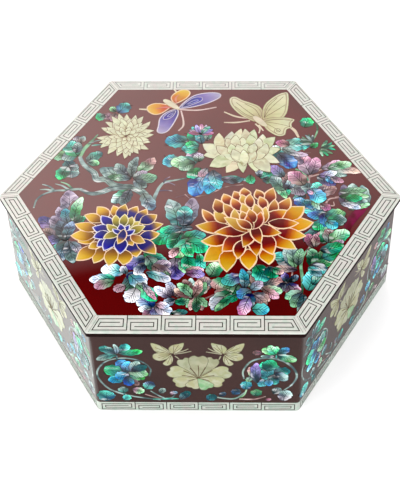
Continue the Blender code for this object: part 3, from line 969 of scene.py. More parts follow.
# The lid's leaves, each a few lobes: x and y of the base, x and y of the tip, width, hues
lidLeaves = [
    [(-38, -55.5, -48.5, -53.5, 7.4, "cyan silver"), (-37, -56, -39.5, -51.8, 3.6, "slate silver"),
     (-42.5, -59, -54, -60.2, 5.6, "emerald silver"), (-43, -61.5, -51.5, -65, 5.2, "moss pink")],
    [(-36, -58, -34.5, -67.5, 6.2, "slate moss"), (-36.5, -56, -27, -60, 6.5, "blue silver"),
     (-35, -57, -27.2, -65, 6.4, "cyan silver"), (-31, -63, -21.8, -73, 6.5, "moss emerald"),
     (-28, -62, -21.6, -72, 3.0, "silver pink"), (-37, -64, -42, -66.8, 4.6, "pink pink"),
     (-31.5, -66, -35.5, -73.5, 7.2, "silver silver")],
    [(-22, -79, -30.5, -72.5, 7.5, "blue silver"), (-23, -79, -28.5, -79.5, 4, "slate silver"),
     (-21, -80, -26, -84, 4.4, "slate pink"), (-21.5, -78.5, -20, -84.5, 4.6, "violet silver"),
     (-21, -78, -13.2, -83, 5.6, "mauve silver"), (-20.5, -77, -14.5, -77.5, 3.8, "pink silver"),
     (-13, -83.6, -5.5, -82, 3.6, "deepGreen shadow")],
    [(-13, -72, -20.6, -66, 4.6, "mauve silver"), (-12, -71, -15, -62.6, 4.2, "mauve silver"),
     (-11, -73, -16.5, -75.6, 4.2, "slate silver"), (-11, -71.5, -8, -66.5, 4, "rose mauve"),
     (-11, -75.5, -4.5, -74, 4, "emerald moss")],
    [(-28, -40, -26.5, -48, 3.6, "mauve rose"), (-25.5, -45, -34.5, -52, 6.6, "slate violet"),
     (-27, -49, -31.5, -56, 4.6, "slate silver"), (-28, -41, -17.5, -46.5, 6.4, "emerald teal"),
     (-27, -44, -22, -53.5, 6, "grey moss"), (-23, -50, -15, -49, 6, "mauve mauve"),
     (-23.5, -50.5, -16, -57.5, 6.4, "rose mauve"), (-17, -54, -16, -60, 3.2, "moss grey"),
     (-26.5, -55, -15.4, -60, 5, "cyan silver")],
    [(-11.5, -45, -9.8, -57.8, 8.6, "mauve violet"), (-8, -44, -6.5, -54, 5, "grey moss"),
     (-5.5, -42.5, -4, -52.5, 6.4, "deepGreen emerald"), (0.5, -42, 1.3, -53, 4.6, "emerald teal"),
     (-6, -53.5, 2.2, -53.3, 4.4, "rose pink"), (-6, -56, 2.5, -57, 4.6, "pink violet")],
    [(-3, -24, -15, -24, 5, "slate teal"), (-10.5, -25, -22, -33, 9, "teal emerald"),
     (-9, -24, -19, -26, 5, "slate emerald"), (-9, -26, -14.5, -37, 7.4, "deepGreen emerald"),
     (-8.5, -32, 2.4, -29.5, 6.8, "emerald teal"), (-5, -31, -10.5, -43, 7, "emerald lime"),
     (-6.5, -33, 2.5, -40, 8, "deepGreen emerald"), (-7, -35, -3, -43, 5, "emerald emerald"),
     (-10, -38, -13.5, -44, 3.8, "rose pink")],
    [(-11, -23, -16, -5.2, 8.4, "teal grey"), (-6.5, -22, -4, -4.2, 6.6, "slate mauve"),
     (-8.5, -22, -8, -9.5, 7, "slate teal")],
    [(-70, -21, -71.8, 1, 9, "slate mauve"), (-70, -22, -75.6, -10, 5, "violet mauve"),
     (-69.5, -22, -68.6, -6, 4.6, "slate rose"), (-70.5, -20.5, -72.3, -11, 4.6, "slate cyan"),
     (-66.5, -20.5, -64.2, -3.4, 5, "emerald lime"), (-67.5, -20.5, -62, -16.5, 4, "deepGreen emerald")],
    [(-75, -29, -84.8, -18, 7, "rose violet"), (-75, -30, -78.5, -17, 6, "slate mauve"),
     (-76, -29.5, -83, -26, 5.6, "mauve rose"), (-74, -30.5, -80, -33, 5.6, "slate violet"),
     (-70.5, -33, -75, -20.5, 6.6, "shadow slate"), (-70.5, -33, -68, -21, 5, "shadow slate")],
    [(-70, -32, -75.5, -42, 6.6, "shadow teal"), (-70, -33, -71.5, -46, 6.4, "shadow slate"),
     (-69, -33, -65.5, -46.6, 6, "slate grey"), (-68, -34, -63, -41, 4.2, "slate mauve")],
    [(6.5, -58, 8.8, -49.3, 7.2, "moss lime"), (6, -67, 2, -59, 6, "slate rose"),
     (14.5, -59.5, 9, -64.5, 6, "emerald rose"), (22.5, -56.5, 13.8, -60.5, 6.8, "violet teal"),
     (24.5, -66.5, 23.3, -54.5, 4.2, "slate cyan")],
    [(21.5, -63, 18.5, -73.5, 6.6, "moss emerald"), (20, -64, 11.5, -70, 6.2, "lime rose"),
     (17.5, -68, 8, -76, 6.8, "lime silver"), (14, -72, 8.8, -79, 6, "silver silver"),
     (20, -70, 11, -79.5, 3.6, "emerald moss")],
    [(28, -66, 27, -55.5, 4.6, "moss grey"), (31.5, -65, 30.2, -56.5, 5, "rose rose"),
     (30.5, -50, 35, -59.6, 8.4, "emerald teal"), (37, -51, 41, -57, 6.4, "teal emerald"),
     (39, -52, 44, -55, 4, "emerald rose")],
    [(33, -64, 43, -60.5, 6.4, "grey rose"), (33, -65, 42.5, -67, 5.6, "rose moss"),
     (34, -66, 41, -71.5, 4.6, "rose pink"), (29.5, -69, 36.5, -73, 5.6, "slate rose"),
     (29, -70, 35, -76, 4.4, "mauve rose"), (28, -67, 33, -62, 4.6, "slate mauve"),
     (27.5, -67, 22, -71.5, 6.4, "slate blue"), (28, -69, 27, -78, 5.6, "blue slate"),
     (26.8, -72, 23.6, -82.5, 5.6, "violet pink"), (28.5, -80, 35.8, -80.6, 6.6, "teal cyan")],
    [(46, -62, 42, -68, 4.4, "slate mauve"), (47, -62, 52, -69, 5.4, "violet pink"),
     (46.5, -62, 44.5, -55.5, 3.4, "shadow violet"), (47.5, -61.5, 51.5, -57.5, 3.2, "shadow slate"),
     (47, -64, 47.5, -70, 4, "mauve rose"), (54, -68, 46.5, -72, 5, "grey moss"),
     (54, -69, 49.5, -77, 5, "slate moss"), (55, -70, 53, -81, 4.6, "shadow grey")],
    [(50, -51.5, 41.8, -43, 7.2, "shadow teal"), (50, -52, 46, -40, 5, "slate grey"),
     (51, -52, 50.5, -38.8, 5, "moss grey"), (52.5, -50, 54.5, -40, 4, "grey moss"),
     (52, -53, 42.5, -51.5, 3.6, "mauve rose")],
    [(57, -67, 58.5, -55.5, 7.4, "teal cyan"), (59.5, -63, 65.5, -55.5, 5, "teal moss"),
     (58.5, -50.5, 59.5, -40, 5.4, "deepGreen moss"), (59.5, -50, 67, -41, 6, "emerald moss"),
     (60, -49, 70, -47, 4.6, "moss lime"), (59.5, -49.5, 66.5, -55, 5, "slate teal"),
     (58, -51, 63.5, -56.5, 4.2, "teal slate"), (65.5, -45, 73, -42, 6.6, "teal emerald"),
     (64.5, -39.5, 75.5, -36.5, 6.4, "shadow emerald")],
    [(64.5, -23.5, 58, -32.5, 5.4, "slate teal"), (61, -37.5, 58.8, -29, 4.4, "rose pink"),
     (62, -37, 65, -28, 4.4, "rose pink"), (65.5, -34.5, 67.5, -24.2, 5.6, "emerald lime"),
     (69, -34, 71.2, -24.8, 5.4, "grey rose"), (70, -33.5, 79, -27.5, 7, "moss lime"),
     (70, -35, 76, -33, 3.6, "rose mauve")],
    [(68, -16, 57, -9.5, 7.5, "slate cyan"), (70, -13, 60, -13.5, 5, "teal blue"),
     (69, -17, 62.5, -23.5, 5.6, "blue emerald"), (66, -13, 71, -21.5, 7, "blue blue"),
     (68, -14, 77.5, -12.5, 7, "teal moss"), (69, -17, 78, -17.5, 7, "emerald grey"),
     (68.5, -18.5, 73.5, -22.5, 5.4, "teal cyan")],
    [(58, 0.5, 52, -1.5, 3.8, "slate teal"), (60, -9, 53, -3, 5.6, "teal blue"),
     (62, -10, 58.5, -3.5, 4.4, "blue teal"), (61, -4, 66.5, -9, 5, "moss grey"),
     (66, -5.5, 70.5, -9, 4.4, "rose pink")],
    [(64, 2, 58.5, 9, 6, "teal grey"), (64, 1, 65, 9.5, 5.4, "slate teal"),
     (64, 2, 73, 7, 7.4, "mauve rose"), (61.5, 6, 66, -3, 7.6, "blue cyan"),
     (59, 4.5, 61.5, 2, 2.6, "violet pink")],
    [(48.5, 8, 56, 2, 7, "grey mauve"), (47, 0, 47.5, 5.5, 4, "emerald emerald"),
     (41, 7.5, 46.5, -0.5, 3.6, "moss lime"), (47.5, 5, 41.5, 14.5, 6, "moss grey"),
     (47, 5, 47.5, 15.5, 5, "slate rose"), (48, 6, 52, 13, 4.6, "slate grey"),
     (46.5, 15, 40, 22.6, 5.4, "slate violet"), (57, 8.5, 50, 17, 8, "rose pink")],
    [(33, 14.5, 40.5, 18, 6.4, "teal emerald"), (33, 15, 33.6, 21.5, 3.4, "slate silver"),
     (35, 14, 40, 12, 4.4, "slate emerald"), (12, 13.5, 22.5, 13.4, 4.6, "mauve shadow"),
     (28, 16.5, 28.8, 10.5, 4.2, "deepGreen emerald")],
    [(60.5, 17, 55.8, 26, 4, "slate mauve"), (61, 16.5, 57, 32, 7.4, "mauve pink"),
     (61.5, 17, 64.5, 28.5, 5.4, "mauve pink"), (65, 15.5, 73.5, 9.6, 5.4, "slate violet"),
     (66, 16, 74.5, 18.6, 4.4, "violet silver"), (69.5, 15.5, 72.5, 10.5, 3.2, "blue blue"),
     (72.5, 15, 78.5, 11.5, 3.6, "mauve pink")],
    [(71, 20, 80, 16.6, 3.8, "moss grey"), (67.5, 21.5, 76.5, 27, 4.8, "mauve pink"),
     (72, 20.5, 87, 18.6, 5, "grey rose"), (71, 21, 82.5, 24.6, 5, "moss lime")],
    [(55.5, 32.5, 42, 37.8, 5.6, "rose grey"), (55, 32, 42.5, 33, 6.6, "slate teal"),
     (45, 33.5, 55.5, 26.5, 5.4, "slate mauve"), (44, 33, 52, 24, 8, "slate blue")],
    [(45.5, 39, 60, 40, 8.4, "grey teal"), (50, 40, 43.5, 42, 5, "rose pink"),
     (46, 37.5, 58.5, 33, 3.4, "grey mauve"), (45, 36, 40, 38, 4.6, "lime silver"),
     (59, 55, 62, 61.5, 6.4, "deepGreen emerald"), (62, 38.2, 65.6, 41.4, 3.4, "emerald emerald")],
    [(-1, 42, -6.5, 49.6, 7.4, "slate emerald"), (0.5, 41.5, -1, 49.4, 5, "blue teal"),
     (-7.5, 42, -18.6, 42.6, 9, "teal cyan"), (-1.5, 36, -9.6, 37, 6.6, "emerald teal"),
     (-1, 39.5, -7.6, 41, 5, "teal emerald"), (3.4, 44, 5.4, 49.4, 3.4, "grey lime")],
    [(0, 30, -6, 34, 6, "slate mauve"), (-11, 27.5, -19.2, 29, 8.2, "grey cyan"),
     (-1.5, 28, -14.4, 27, 8, "teal lime"), (-3, 26, -10, 21, 7, "moss lime"),
     (-1, 27, -1, 33, 5, "moss mauve"), (0.5, 21.5, -6, 15.5, 6, "emerald emerald"),
     (3.8, 21.6, 0, 16, 3.8, "silver pink")],
    [(5, 19.5, -1.8, 2.6, 9.4, "slate blue"), (6, 19, 4.6, 4, 7, "blue cyan"),
     (7, 20, 10.4, 7.4, 6, "slate cyan")],
    [(-72.4, 42, -70, 46.6, 4, "mauve mauve"), (-68.5, 42, -66.5, 46.5, 3.6, "rose grey"),
     (-75, 32, -82.4, 31.5, 6.6, "moss moss"), (-69.5, 32, -76.5, 29, 6, "teal grey"),
     (-69, 31.5, -74.5, 42, 8.4, "emerald teal"), (-70, 34, -70, 41.5, 4.6, "slate grey")],
    [(-74.5, 20, -73, 27, 5.6, "slate teal"), (-75, 21, -69.5, 16, 7, "teal grey"),
     (-73, 22.5, -68.6, 22, 4.6, "slate grey"), (-74, 23, -77.5, 14, 6.4, "deepGreen emerald"),
     (-63.5, 26, -56.5, 32.8, 5.4, "grey teal"), (-63.5, 27, -57.5, 26, 4, "grey moss")],
    [(-38, 14, -53.4, 20.5, 7.4, "moss grey"), (-38, 15, -45.5, 24, 5.6, "slate grey"),
     (-38.5, 13.5, -49.5, 14.8, 4.4, "slate moss"), (-37.5, 15, -35.4, 28.5, 4.4, "grey grey"),
     (-34.5, 18.5, -27, 28.5, 6.2, "lime rose"), (-37, 14, -30.5, 18.4, 4.6, "grey mauve"),
     (-36.5, 13, -25.6, 15, 6.4, "grey moss"), (-36, 12.5, -30, 8, 5.4, "slate grey")],
    [(-38, 4.5, -46.5, -3.5, 7, "emerald grey"), (-38, 5, -42, -5, 5, "slate grey"),
     (-31, 2, -26, -9, 6.4, "grey slate")],
    [(-51, 65, -58, 64.6, 4.6, "pink rose"), (-56, 65, -60.6, 63.4, 5.4, "grey emerald"),
     (-50, 66.5, -51.6, 61, 4, "rose pink"), (-50, 68, -52.5, 71.6, 3.4, "moss moss"),
     (-48.5, 67.5, -44, 74.5, 7, "blue teal")],
]
# Fans: x and y of the base, first and last angle, count, length, width, hues
fans = [
    (0, 49, 10, 170, 9, 8.5, 3.0, "pink violet teal mauve"),
    (-2, -72, 40, 150, 7, 13, 5.0, "rose moss rose grey"), (0, -72, 230, 310, 5, 9.5, 4.4, "moss rose"),
    (63, 42, 85, 190, 7, 7.5, 1.8, "grey moss"), (68, 38, -85, 60, 7, 8, 2.0, "moss deepGreen"),
]
# Stems and twigs: points along them, widths along them, hue
stems = [
    ([(-68, 31), (-66, 37), (-63, 42), (-59, 49)], (2.6, 2.4, 0.7), "moss"),
    ([(-64, 41), (-60, 43.5), (-55, 45)], (1.4, 0.5), "grey"),
    ([(-62, 40), (-58, 40.5), (-54, 41)], (1.2, 0.5), "teal"),
    ([(-68, 31), (-66, 26), (-63, 22), (-59, 18), (-57, 13), (-52, 13), (-48, 9), (-43, 7.5)],
     (2.2, 3.4, 4.6, 4.0), "grey"),
    ([(-66, 5.5), (-60, 2), (-54, 3), (-48, 6), (-40, 7), (-34, 5), (-29, 0), (-26, -7)],
     (2, 3.2, 4.6, 5.2, 3), "grey"),
    ([(-66, 5.5), (-74, 4.5), (-80, 4), (-86, 1), (-89, -3), (-90, -9)], (1.8, 1.4, 1.3, 0.9), "grey"),
    ([(-72, 5), (-76, 8), (-80, 9.5)], (1.5, 0.6), "grey"),
    ([(-70, 5.5), (-73, 9), (-77, 11)], (1.5, 0.6), "moss"),
    ([(-80, 4), (-84, 5), (-88, 5)], (1.5, 0.6), "grey"),
    ([(-80, 4.5), (-83, 7.5), (-87, 9)], (1.5, 0.6), "grey"), ([(-72, 4), (-73, 1)], (0.9, 0.4), "grey"),
    ([(-26, -6), (-24, 1), (-22, 7), (-19, 11), (-13, 12.5), (-7, 14)], (2.6, 1.9, 1.4, 0.7), "grey"),
    ([(-23, 4), (-19, 4.5), (-15, 4)], (1.2, 0.5), "mauve"),
    ([(-20, 10), (-17, 10.5), (-13.5, 8.5)], (1.2, 0.5), "mauve"),
    ([(-20, 10), (-19, 13), (-16.5, 15)], (1.2, 0.5), "mauve"),
    ([(-13, -1), (-7, 1), (-1, 0), (6, 2), (14, 7), (24, 9)], (0.5, 1.0, 0.8, 0.7), "rose"),
    ([(-8, 1.5), (-5, -2)], (0.7, 0.4), "rose"),
    ([(11, 14), (18, 15), (24, 13), (30, 10)], (1.2, 2.4, 1.4), "teal"),
    ([(61.5, 62.5), (65, 59.5), (66.5, 55), (65.5, 49), (62, 41.5), (58, 36)], (0.9, 1.2, 1.0, 0.8),
     "moss"), ([(54, -69), (54.5, -60), (54, -50), (56, -42), (60, -36)], (1.2, 1.8, 1.4, 0.8), "moss"),
    ([(49, -58), (50, -51)], (0.9, 0.7), "rose"),
    ([(60, 10), (61, 16), (66, 20), (72, 22)], (1.2, 1.4, 0.8), "rose"),
    ([(53, 21), (57, 19), (60, 12)], (1.2, 1.6, 1.0), "lime"), ([(61, 15), (66, 17)], (1.2, 0.8), "rose"),
    ([(-9, -68), (-5, -73), (2, -73.5), (9, -70), (12, -67)], (0.7, 1.0, 0.7), "rose"),
    ([(10, -62), (4, -58), (3, -52), (6, -48.5)], (0.8, 1.0, 0.6), "rose"),
    ([(74, -1), (78, 0)], (1.4, 1.0), "rose"),
    ([(76, -1), (71, -2), (69, -6), (73, -7), (73, -4)], (0.9, 1.1, 0.5), "rose"),
    ([(54, 32), (59, 34), (62, 34)], (0.9, 0.5), "rose"), ([(57, -42), (60, -33)], (0.8, 0.5), "rose"),
]
# A painted reflection at the right: a narrow crimson streak of sheen on the lacquer beside the band, drawn as
# a dark red strip: points along it, widths along it, hue
crimsonReflectionStreak = ([(93, -6), (87, -11), (82.5, -17), (79.5, -24), (79, -31)], (1.0, 5.4, 5.2, 3.6, 0.8), "crimsonSheen")
# A full flower at the right corner, made of lobes: x and y of each base from the centre, x and y of
# its tip, width, hue
peonyCentre = (84, -0.5)
peonyPetals = [  # x and y of the base from the centre, x and y of the tip, width, hue
    (-6, -7, -5, 9.5, 6.4, "mauve"), (6.5, -7, 5, 9, 6.4, "grey"), (0, -9, 0, 10.4, 9, "grey"),
    (-3, -9.5, 8.6, -5.5, 5, "moss"), (-7.5, 4, 7.5, 5.4, 5, "moss"),
    (-7.4, -5, 3.4, -8.6, 4.4, "silver"), (-7.6, 0.6, 8.6, 0.4, 5.4, "moss"),
    (-5, -3.6, 7.6, -3.2, 5, "grey"), (-4.6, -0.6, 4.8, -1, 5.6, "emerald"),
]

leafGrowth = (1.16, 1.2)     # how much longer and wider the lobes are than listed
# Levels over the lacquer, and what one lobe, stem or leaf lies over the last
greenLevels = {"stem": 0.012, "stemStep": 0.002, "bark": 0.003, "leaf": 0.024, "lobeStep": 0.012,
               "leafStep": 0.005, "fan": 0.12, "peony": 0.026, "crimsonSheen": 0.014}
# Dark lines along a stem wider than "least", at shares of its width
barkForm = {"least": 3, "sides": (-0.24, 0.2), "stray": (0.5, 1.1), "widths": (0.1, 0.34, 0.26, 0.1)}
fieldMargin = 0.5


# Moves what grew out over the lid's band back to the edge of the field
def keepInField(stock):
    for points in stock["points"]:
        for k in range(6):
            out, along = sideDirections(k)
            limit = boxSizes["lidApothem"] - bandWidths[k] - fieldMargin
            points -= np.maximum(points @ out - limit, 0)[:, None] * out


def makeLidGreens():
    rng = np.random.default_rng(23)
    stocks = shells, veins, seams = newStock(), newStock(), newStock()
    at = greenLevels
    for i, (points, widths, hue) in enumerate(stems):
        level = at["stem"] + at["stemStep"] * (i % 3)
        paint = paintOf(*shellHues[hue], rng.uniform(0, 3))
        addStem(shells, lidPlane, points, widths, level, paint, 0.55)
        if max(widths) > barkForm["least"]:
            for side in barkForm["sides"]:
                stray = rng.uniform(*barkForm["stray"], (len(points), 2))
                bark = np.array(points, float) + side * max(widths) * stray
                addStem(veins, lidPlane, bark[1:], barkForm["widths"], level + at["bark"],
                        paintOf(veinInk), 1.0)
    for k, leaf in enumerate(lidLeaves):
        for i, (x0, y0, x1, y1, width, hues) in enumerate(leaf):
            base, tip = np.array([x0, y0]), np.array([x1, y1])
            tip = base + (tip - base) * leafGrowth[0]
            level = at["leaf"] + at["lobeStep"] * i + at["leafStep"] * (k % 2) + petalSizes["nudge"] * (k % 9)
            addLobe(stocks, lidPlane, base, tip, width * leafGrowth[1], hues.split(), level, rng)
    for x, y, first, last, count, length, width, hues in fans:
        addFan(stocks, lidPlane, (x, y), (first, last), count, length, width, hues.split(), at["fan"], rng)
    x, y = peonyCentre
    for i, (x0, y0, x1, y1, width, hue) in enumerate(peonyPetals):
        addLobe(stocks, lidPlane, (x + x0, y + y0), (x + x1, y + y1), width, (hue,),
                at["peony"] + at["lobeStep"] * i, rng)
    # painted reflection: the crimson streak beside the band at the right is a strip of dark red colour
    points, widths, hue = crimsonReflectionStreak      # with the veins, whose shell has no flashes
    addStem(veins, lidPlane, points, widths, at["crimsonSheen"], paintOf(*shellHues[hue]), 0.8)
    for stock in stocks:
        keepInField(stock)
    buildPiece(shells, "lidLeaves", abalone)
    buildPiece(veins, "lidLeafVeins", ink)
    buildPiece(seams, "lidLeafSeams", gapLacquer)


makeLidGreens()

# Butterflies
creamWing = [(0, (200, 190, 136)), (0.5, (228, 230, 178)), (1, (242, 242, 206))]
wingLilac = [(0, (34, 38, 134)), (0.45, (92, 88, 176)), (0.75, (150, 142, 200)), (1, (190, 186, 212))]
wingBlue = [(0, (14, 18, 104)), (0.6, (34, 42, 150)), (1, (70, 80, 190))]
wingAmber = [(0, (190, 84, 50)), (0.4, (222, 120, 30)), (0.7, (238, 176, 40)), (1, (240, 206, 96))]


# A wing is a rim and a coloured plate let into it. Its colour runs from the root to the far end.
def addWing(rims, fills, outline, level, rim, fill, line):
    root = np.array(outline[0], float)
    reach = np.hypot(*(np.array(outline, float) - root).T).max()

    def paint(grid):
        far = np.hypot(grid[..., 0] - root[0], grid[..., 1] - root[1]) / reach
        return paintOf(colourRun(far, fill))

    addShape(rims, lidPlane, outline, level, paintOf(rim))
    addShape(fills, lidPlane, outline, level + 2 * petalSizes["step"], paint, line, 1.0)


colouredWings = [  # outline from the root, rim, fill
    (((-13.5, 71), (-11, 76), (-6, 81.5), (-1, 84), (6, 85), (10.5, 84), (11, 81), (8, 78), (3, 75),
      (-3, 72.6), (-9, 71)), (232, 220, 228), wingLilac),
    (((-14, 70.5), (-18, 69.5), (-22, 66.5), (-24.5, 62), (-25, 56), (-25.5, 51.5), (-23, 49.6),
      (-19.5, 51), (-17, 55), (-15, 60), (-13.3, 66)), (232, 220, 228), wingLilac),
    (((-18, 73), (-22, 75), (-28, 75.4), (-32, 72.5), (-31.5, 68.5), (-28, 65.6), (-24, 66),
      (-20, 69.5)), (250, 216, 176), wingAmber),
    (((-16, 75), (-18.4, 79), (-17.4, 83), (-13, 87), (-8.5, 87), (-6.8, 84), (-8.6, 80), (-12.3, 76.6)),
     (250, 216, 176), wingAmber),
]
colouredInner = [
    (((-12, 72), (-9, 76.8), (-4.5, 80.6), (0, 80.6), (0, 77.6), (-4, 74.8), (-9, 72.2)), (210, 204,
                                                                                           228),
     wingBlue), (((-9, 74), (-6.5, 76.8), (-3, 78.6), (-2, 77.4), (-5, 75.4)), (170, 170, 220), wingBlue),
    (((-15, 69), (-19, 67.6), (-22, 64), (-22, 61.4), (-18.6, 62), (-16, 65)), (210, 204, 228), wingBlue),
    (((-16, 67.4), (-18.6, 66), (-20, 63.8), (-18, 63.8)), (170, 170, 220), wingBlue),
]
creamWings = [
    ((35, 62), (36, 67), (33.6, 72.6), (29, 75.6), (24, 78), (19.4, 81.2), (16.4, 80), (16, 76), (18,
                                                                                                  71),
     (22, 65.6), (27, 61.6), (31, 59.6)),
    ((35.5, 61), (34.8, 67), (36.4, 74), (40.4, 79.6), (45.4, 83.8), (49.8, 84.8), (50.8, 80.6),
     (50.4, 73), (49.2, 66.6), (46, 61.6), (40, 59.6)),
    ((34.6, 60), (39, 62.6), (43.6, 63.2), (48.4, 63.2), (53.6, 61.4), (52, 57.8), (51.8, 54.6), (49,
                                                                                                  53),
     (47.8, 48.4), (44, 47.4), (40, 50), (36.6, 54)),
]
feelers = [  # points along, widths along, colour
    (((-13, 70), (-2, 69.5), (8.5, 72)), (1.0, 1.1, 0.8), (240, 214, 206)),
    (((-12, 69), (-10.5, 61), (-10.5, 56), (-13, 52)), (0.9, 1.1, 0.8), (240, 214, 206)),
    (((-31, 70), (-36.5, 70.5)), (1.5, 0.9), (240, 226, 196)),
    (((-15, 85), (-17, 88)), (1.2, 0.9), (240, 226, 196)),
    (((29, 62), (20, 64), (13, 68)), (0.9, 1.3, 0.8), (236, 218, 190)),
    (((28, 60.5), (20, 59), (13, 59)), (0.9, 1.2, 0.8), (236, 218, 190)),
    (((31, 58), (33.5, 54), (33, 50)), (1.0, 0.8), (236, 218, 190)),
    (((33, 57), (35.5, 52)), (1.0, 0.8), (236, 218, 190)),
    (((51, 55), (53.5, 52), (55.5, 46.5)), (1.8, 1.9, 1.3), (236, 218, 190)),
]
amberVeins = [((-17, 71.6), (-22, 71.8), (-27, 70.4)), ((-15, 76), (-15.4, 80), (-13.4, 83))]
wingGrooves = [
    ((33, 62), (27, 68), (20, 76)), ((33, 62), (26, 65.4), (19.4, 72.6)), ((34, 63), (31, 70), (25, 75)),
    ((36, 63), (40, 71), (47.6, 81)), ((36, 63), (42, 68), (48.6, 74)), ((36, 63), (38.4, 72), (44, 80)),
    ((36, 60), (44, 61.4), (51, 60.4)), ((36, 59.6), (43, 58), (49.6, 56)),
    ((36, 59), (41, 55), (45, 51)),
]
butterflyBodies = [((-13, 70), (-22.5, 78.5), 4.2), ((37.5, 55.5), (30, 64), 4.4)]     # tail, head, width
# "line" is how far a plate stands in from its rim, and "contour" the line drawn inside the cream wings
wingForm = {"level": 0.05, "step": 0.03, "line": 0.7, "innerLevel": 0.12, "innerStep": 0.014,
            "innerLine": 0.45, "creamLine": 0.3, "creamRim": (160, 124, 96), "contour": 0.36,
            "contourIn": 1.5, "contourLevel": 0.068, "contourInk": (206, 190, 152)}
bodyForm = {"level": 0.2, "step": 0.012, "line": 0.7, "rim": (180, 160, 120), "fill": (236, 228, 196),
            "swell": (0.5, 0.4)}
grooveForm = {"level": 0.13, "width": 0.14, "ink": (140, 112, 84)}
swirlForm = {"centre": (43.8, 52), "growth": 0.22, "turn": 3.4 * math.pi, "points": 26, "width": 0.16}


def makeButterflies():
    rims, fills, lines = newStock(), newStock(), newStock()
    form, body, groove, swirl = wingForm, bodyForm, grooveForm, swirlForm
    contour = paintOf(form["contourInk"])
    for i, (outline, rim, fill) in enumerate(colouredWings):
        addWing(rims, fills, outline, form["level"] + form["step"] * i, rim, fill, form["line"])
    for i, (outline, rim, fill) in enumerate(colouredInner):
        level = form["innerLevel"] + form["innerStep"] * i
        addWing(rims, fills, outline, level, rim, fill, form["innerLine"])
    for i, outline in enumerate(creamWings):
        rise = form["step"] * i
        addWing(rims, fills, outline, form["level"] + rise, form["creamRim"], creamWing, form["creamLine"])
        inner = inwards(leftward(closedPath(outline)), form["contourIn"])
        addStrip(lines, lidPlane, np.concatenate([inner, inner[:1]]), form["contour"],
                 form["contourLevel"] + rise, contour, wide=False)
    for points, widths, colour in feelers:
        addStem(fills, lidPlane, points, widths, 0.03, paintOf(colour), 0.85)
    for points in amberVeins:
        addStem(fills, lidPlane, points, (0.5, 1.3, 0.8, 0.4), 0.17, paintOf((232, 140, 120)), 0.85)
    for base, tip, width in butterflyBodies:
        level = body["level"]
        addBlade(rims, lidPlane, base, tip, width, level, paintOf(body["rim"]), swell=body["swell"])
        addBlade(fills, lidPlane, base, tip, width - body["line"], level + body["step"],
                 paintOf(body["fill"]), swell=body["swell"])
    turn = np.linspace(0, swirl["turn"], swirl["points"])
    x, y = swirl["centre"]
    curl = np.stack([x + swirl["growth"] * turn * np.cos(turn), y + swirl["growth"] * turn * np.sin(turn)], 1)
    engraving = paintOf(groove["ink"])
    addStrip(lines, lidPlane, curl, swirl["width"], groove["level"], engraving, wide=False)
    for points in wingGrooves:
        addStrip(lines, lidPlane, smoothPath(points), groove["width"], groove["level"], engraving, wide=False)
    buildPiece(rims, "butterflyRims", rimShell)
    buildPiece(fills, "butterflyWings", pearl)
    buildPiece(lines, "butterflyLines", ink)


makeButterflies()

# The picture on each wall: a cream flower between two vine rings, with two butterflies over it.
# "line" is how far a plate stands in from its rim, and the picture is drawn "drop" lower than listed.
wallPicture = {"drop": -1.2, "pistil": (0.5, 30.5), "level": 0.03, "rise": 0.006, "step": 0.012,
               "petalLine": 0.24, "wingLine": 0.2, "edgeShade": 0.92, "rim": (176, 164, 128),
               "groove": (120, 96, 70), "feeler": (212, 210, 174), "pistilLevel": 0.155,
               "grooveLevel": 0.088, "grooveWidth": 0.12, "closing": (0.46, 0.56)}
pistilTips = [(-7, 37), (-3.5, 39.5), (0.7, 41.5), (4.5, 40), (8, 37.5), (-8, 33), (9, 33), (-5, 28),
              (6.5, 28)]
wingGrooveFans = [(1.45, 0.0), (1.25, 0.3), (1.25, -0.3)]     # how far past the middle, and how far aside
wallPetals = [  # tip, width, hue
    ((-7.5, 47), 8.5, "dusk"), ((9, 47.5), 8.5, "dusk"), ((1, 49.5), 10.5, "dusk"),
    ((-14.5, 37.5), 10.5, "cream"), ((17, 37), 11, "cream"), ((-12, 26), 9.5, "cream"),
    ((13.5, 26.5), 9.5, "cream"), ((-3.5, 22), 8, "cream"), ((6, 21.5), 8.5, "frost"),
]
wallWings = [  # the left butterfly's, from the root; the right one is its mirror image
    ((-12.5, 51), (-14.5, 54.8), (-18.5, 58.4), (-23, 60.2), (-22.4, 56), (-20.6, 52.6), (-16.5, 51)),
    ((-12, 51.4), (-14.2, 55), (-12.6, 58.2), (-9, 59.6), (-6.2, 60.4), (-6.6, 57), (-8.4, 53.4)),
    ((-13, 51), (-17, 52.2), (-21.8, 51.2), (-22.4, 47.6), (-19.6, 45.4), (-16, 46.4), (-13.4, 48.6)),
    ((-13, 50), (-15.8, 46), (-17.6, 43), (-15.5, 41.2), (-13, 43), (-12, 47)),
]
wallMirror = 1.5      # the sum of x of a point and of its mirror image
wallFeelers = [((-12, 51.5), (-7, 53.5), (-4, 55.5)), ((-11.5, 51), (-7, 52), (-2.5, 53.5)),
               ((-11, 49.5), (-9, 47)), ((13, 51.5), (9, 53.5), (6, 56)), ((13, 51), (9, 52), (5, 53)),
               ((12.5, 49.5), (11.5, 46.5))]
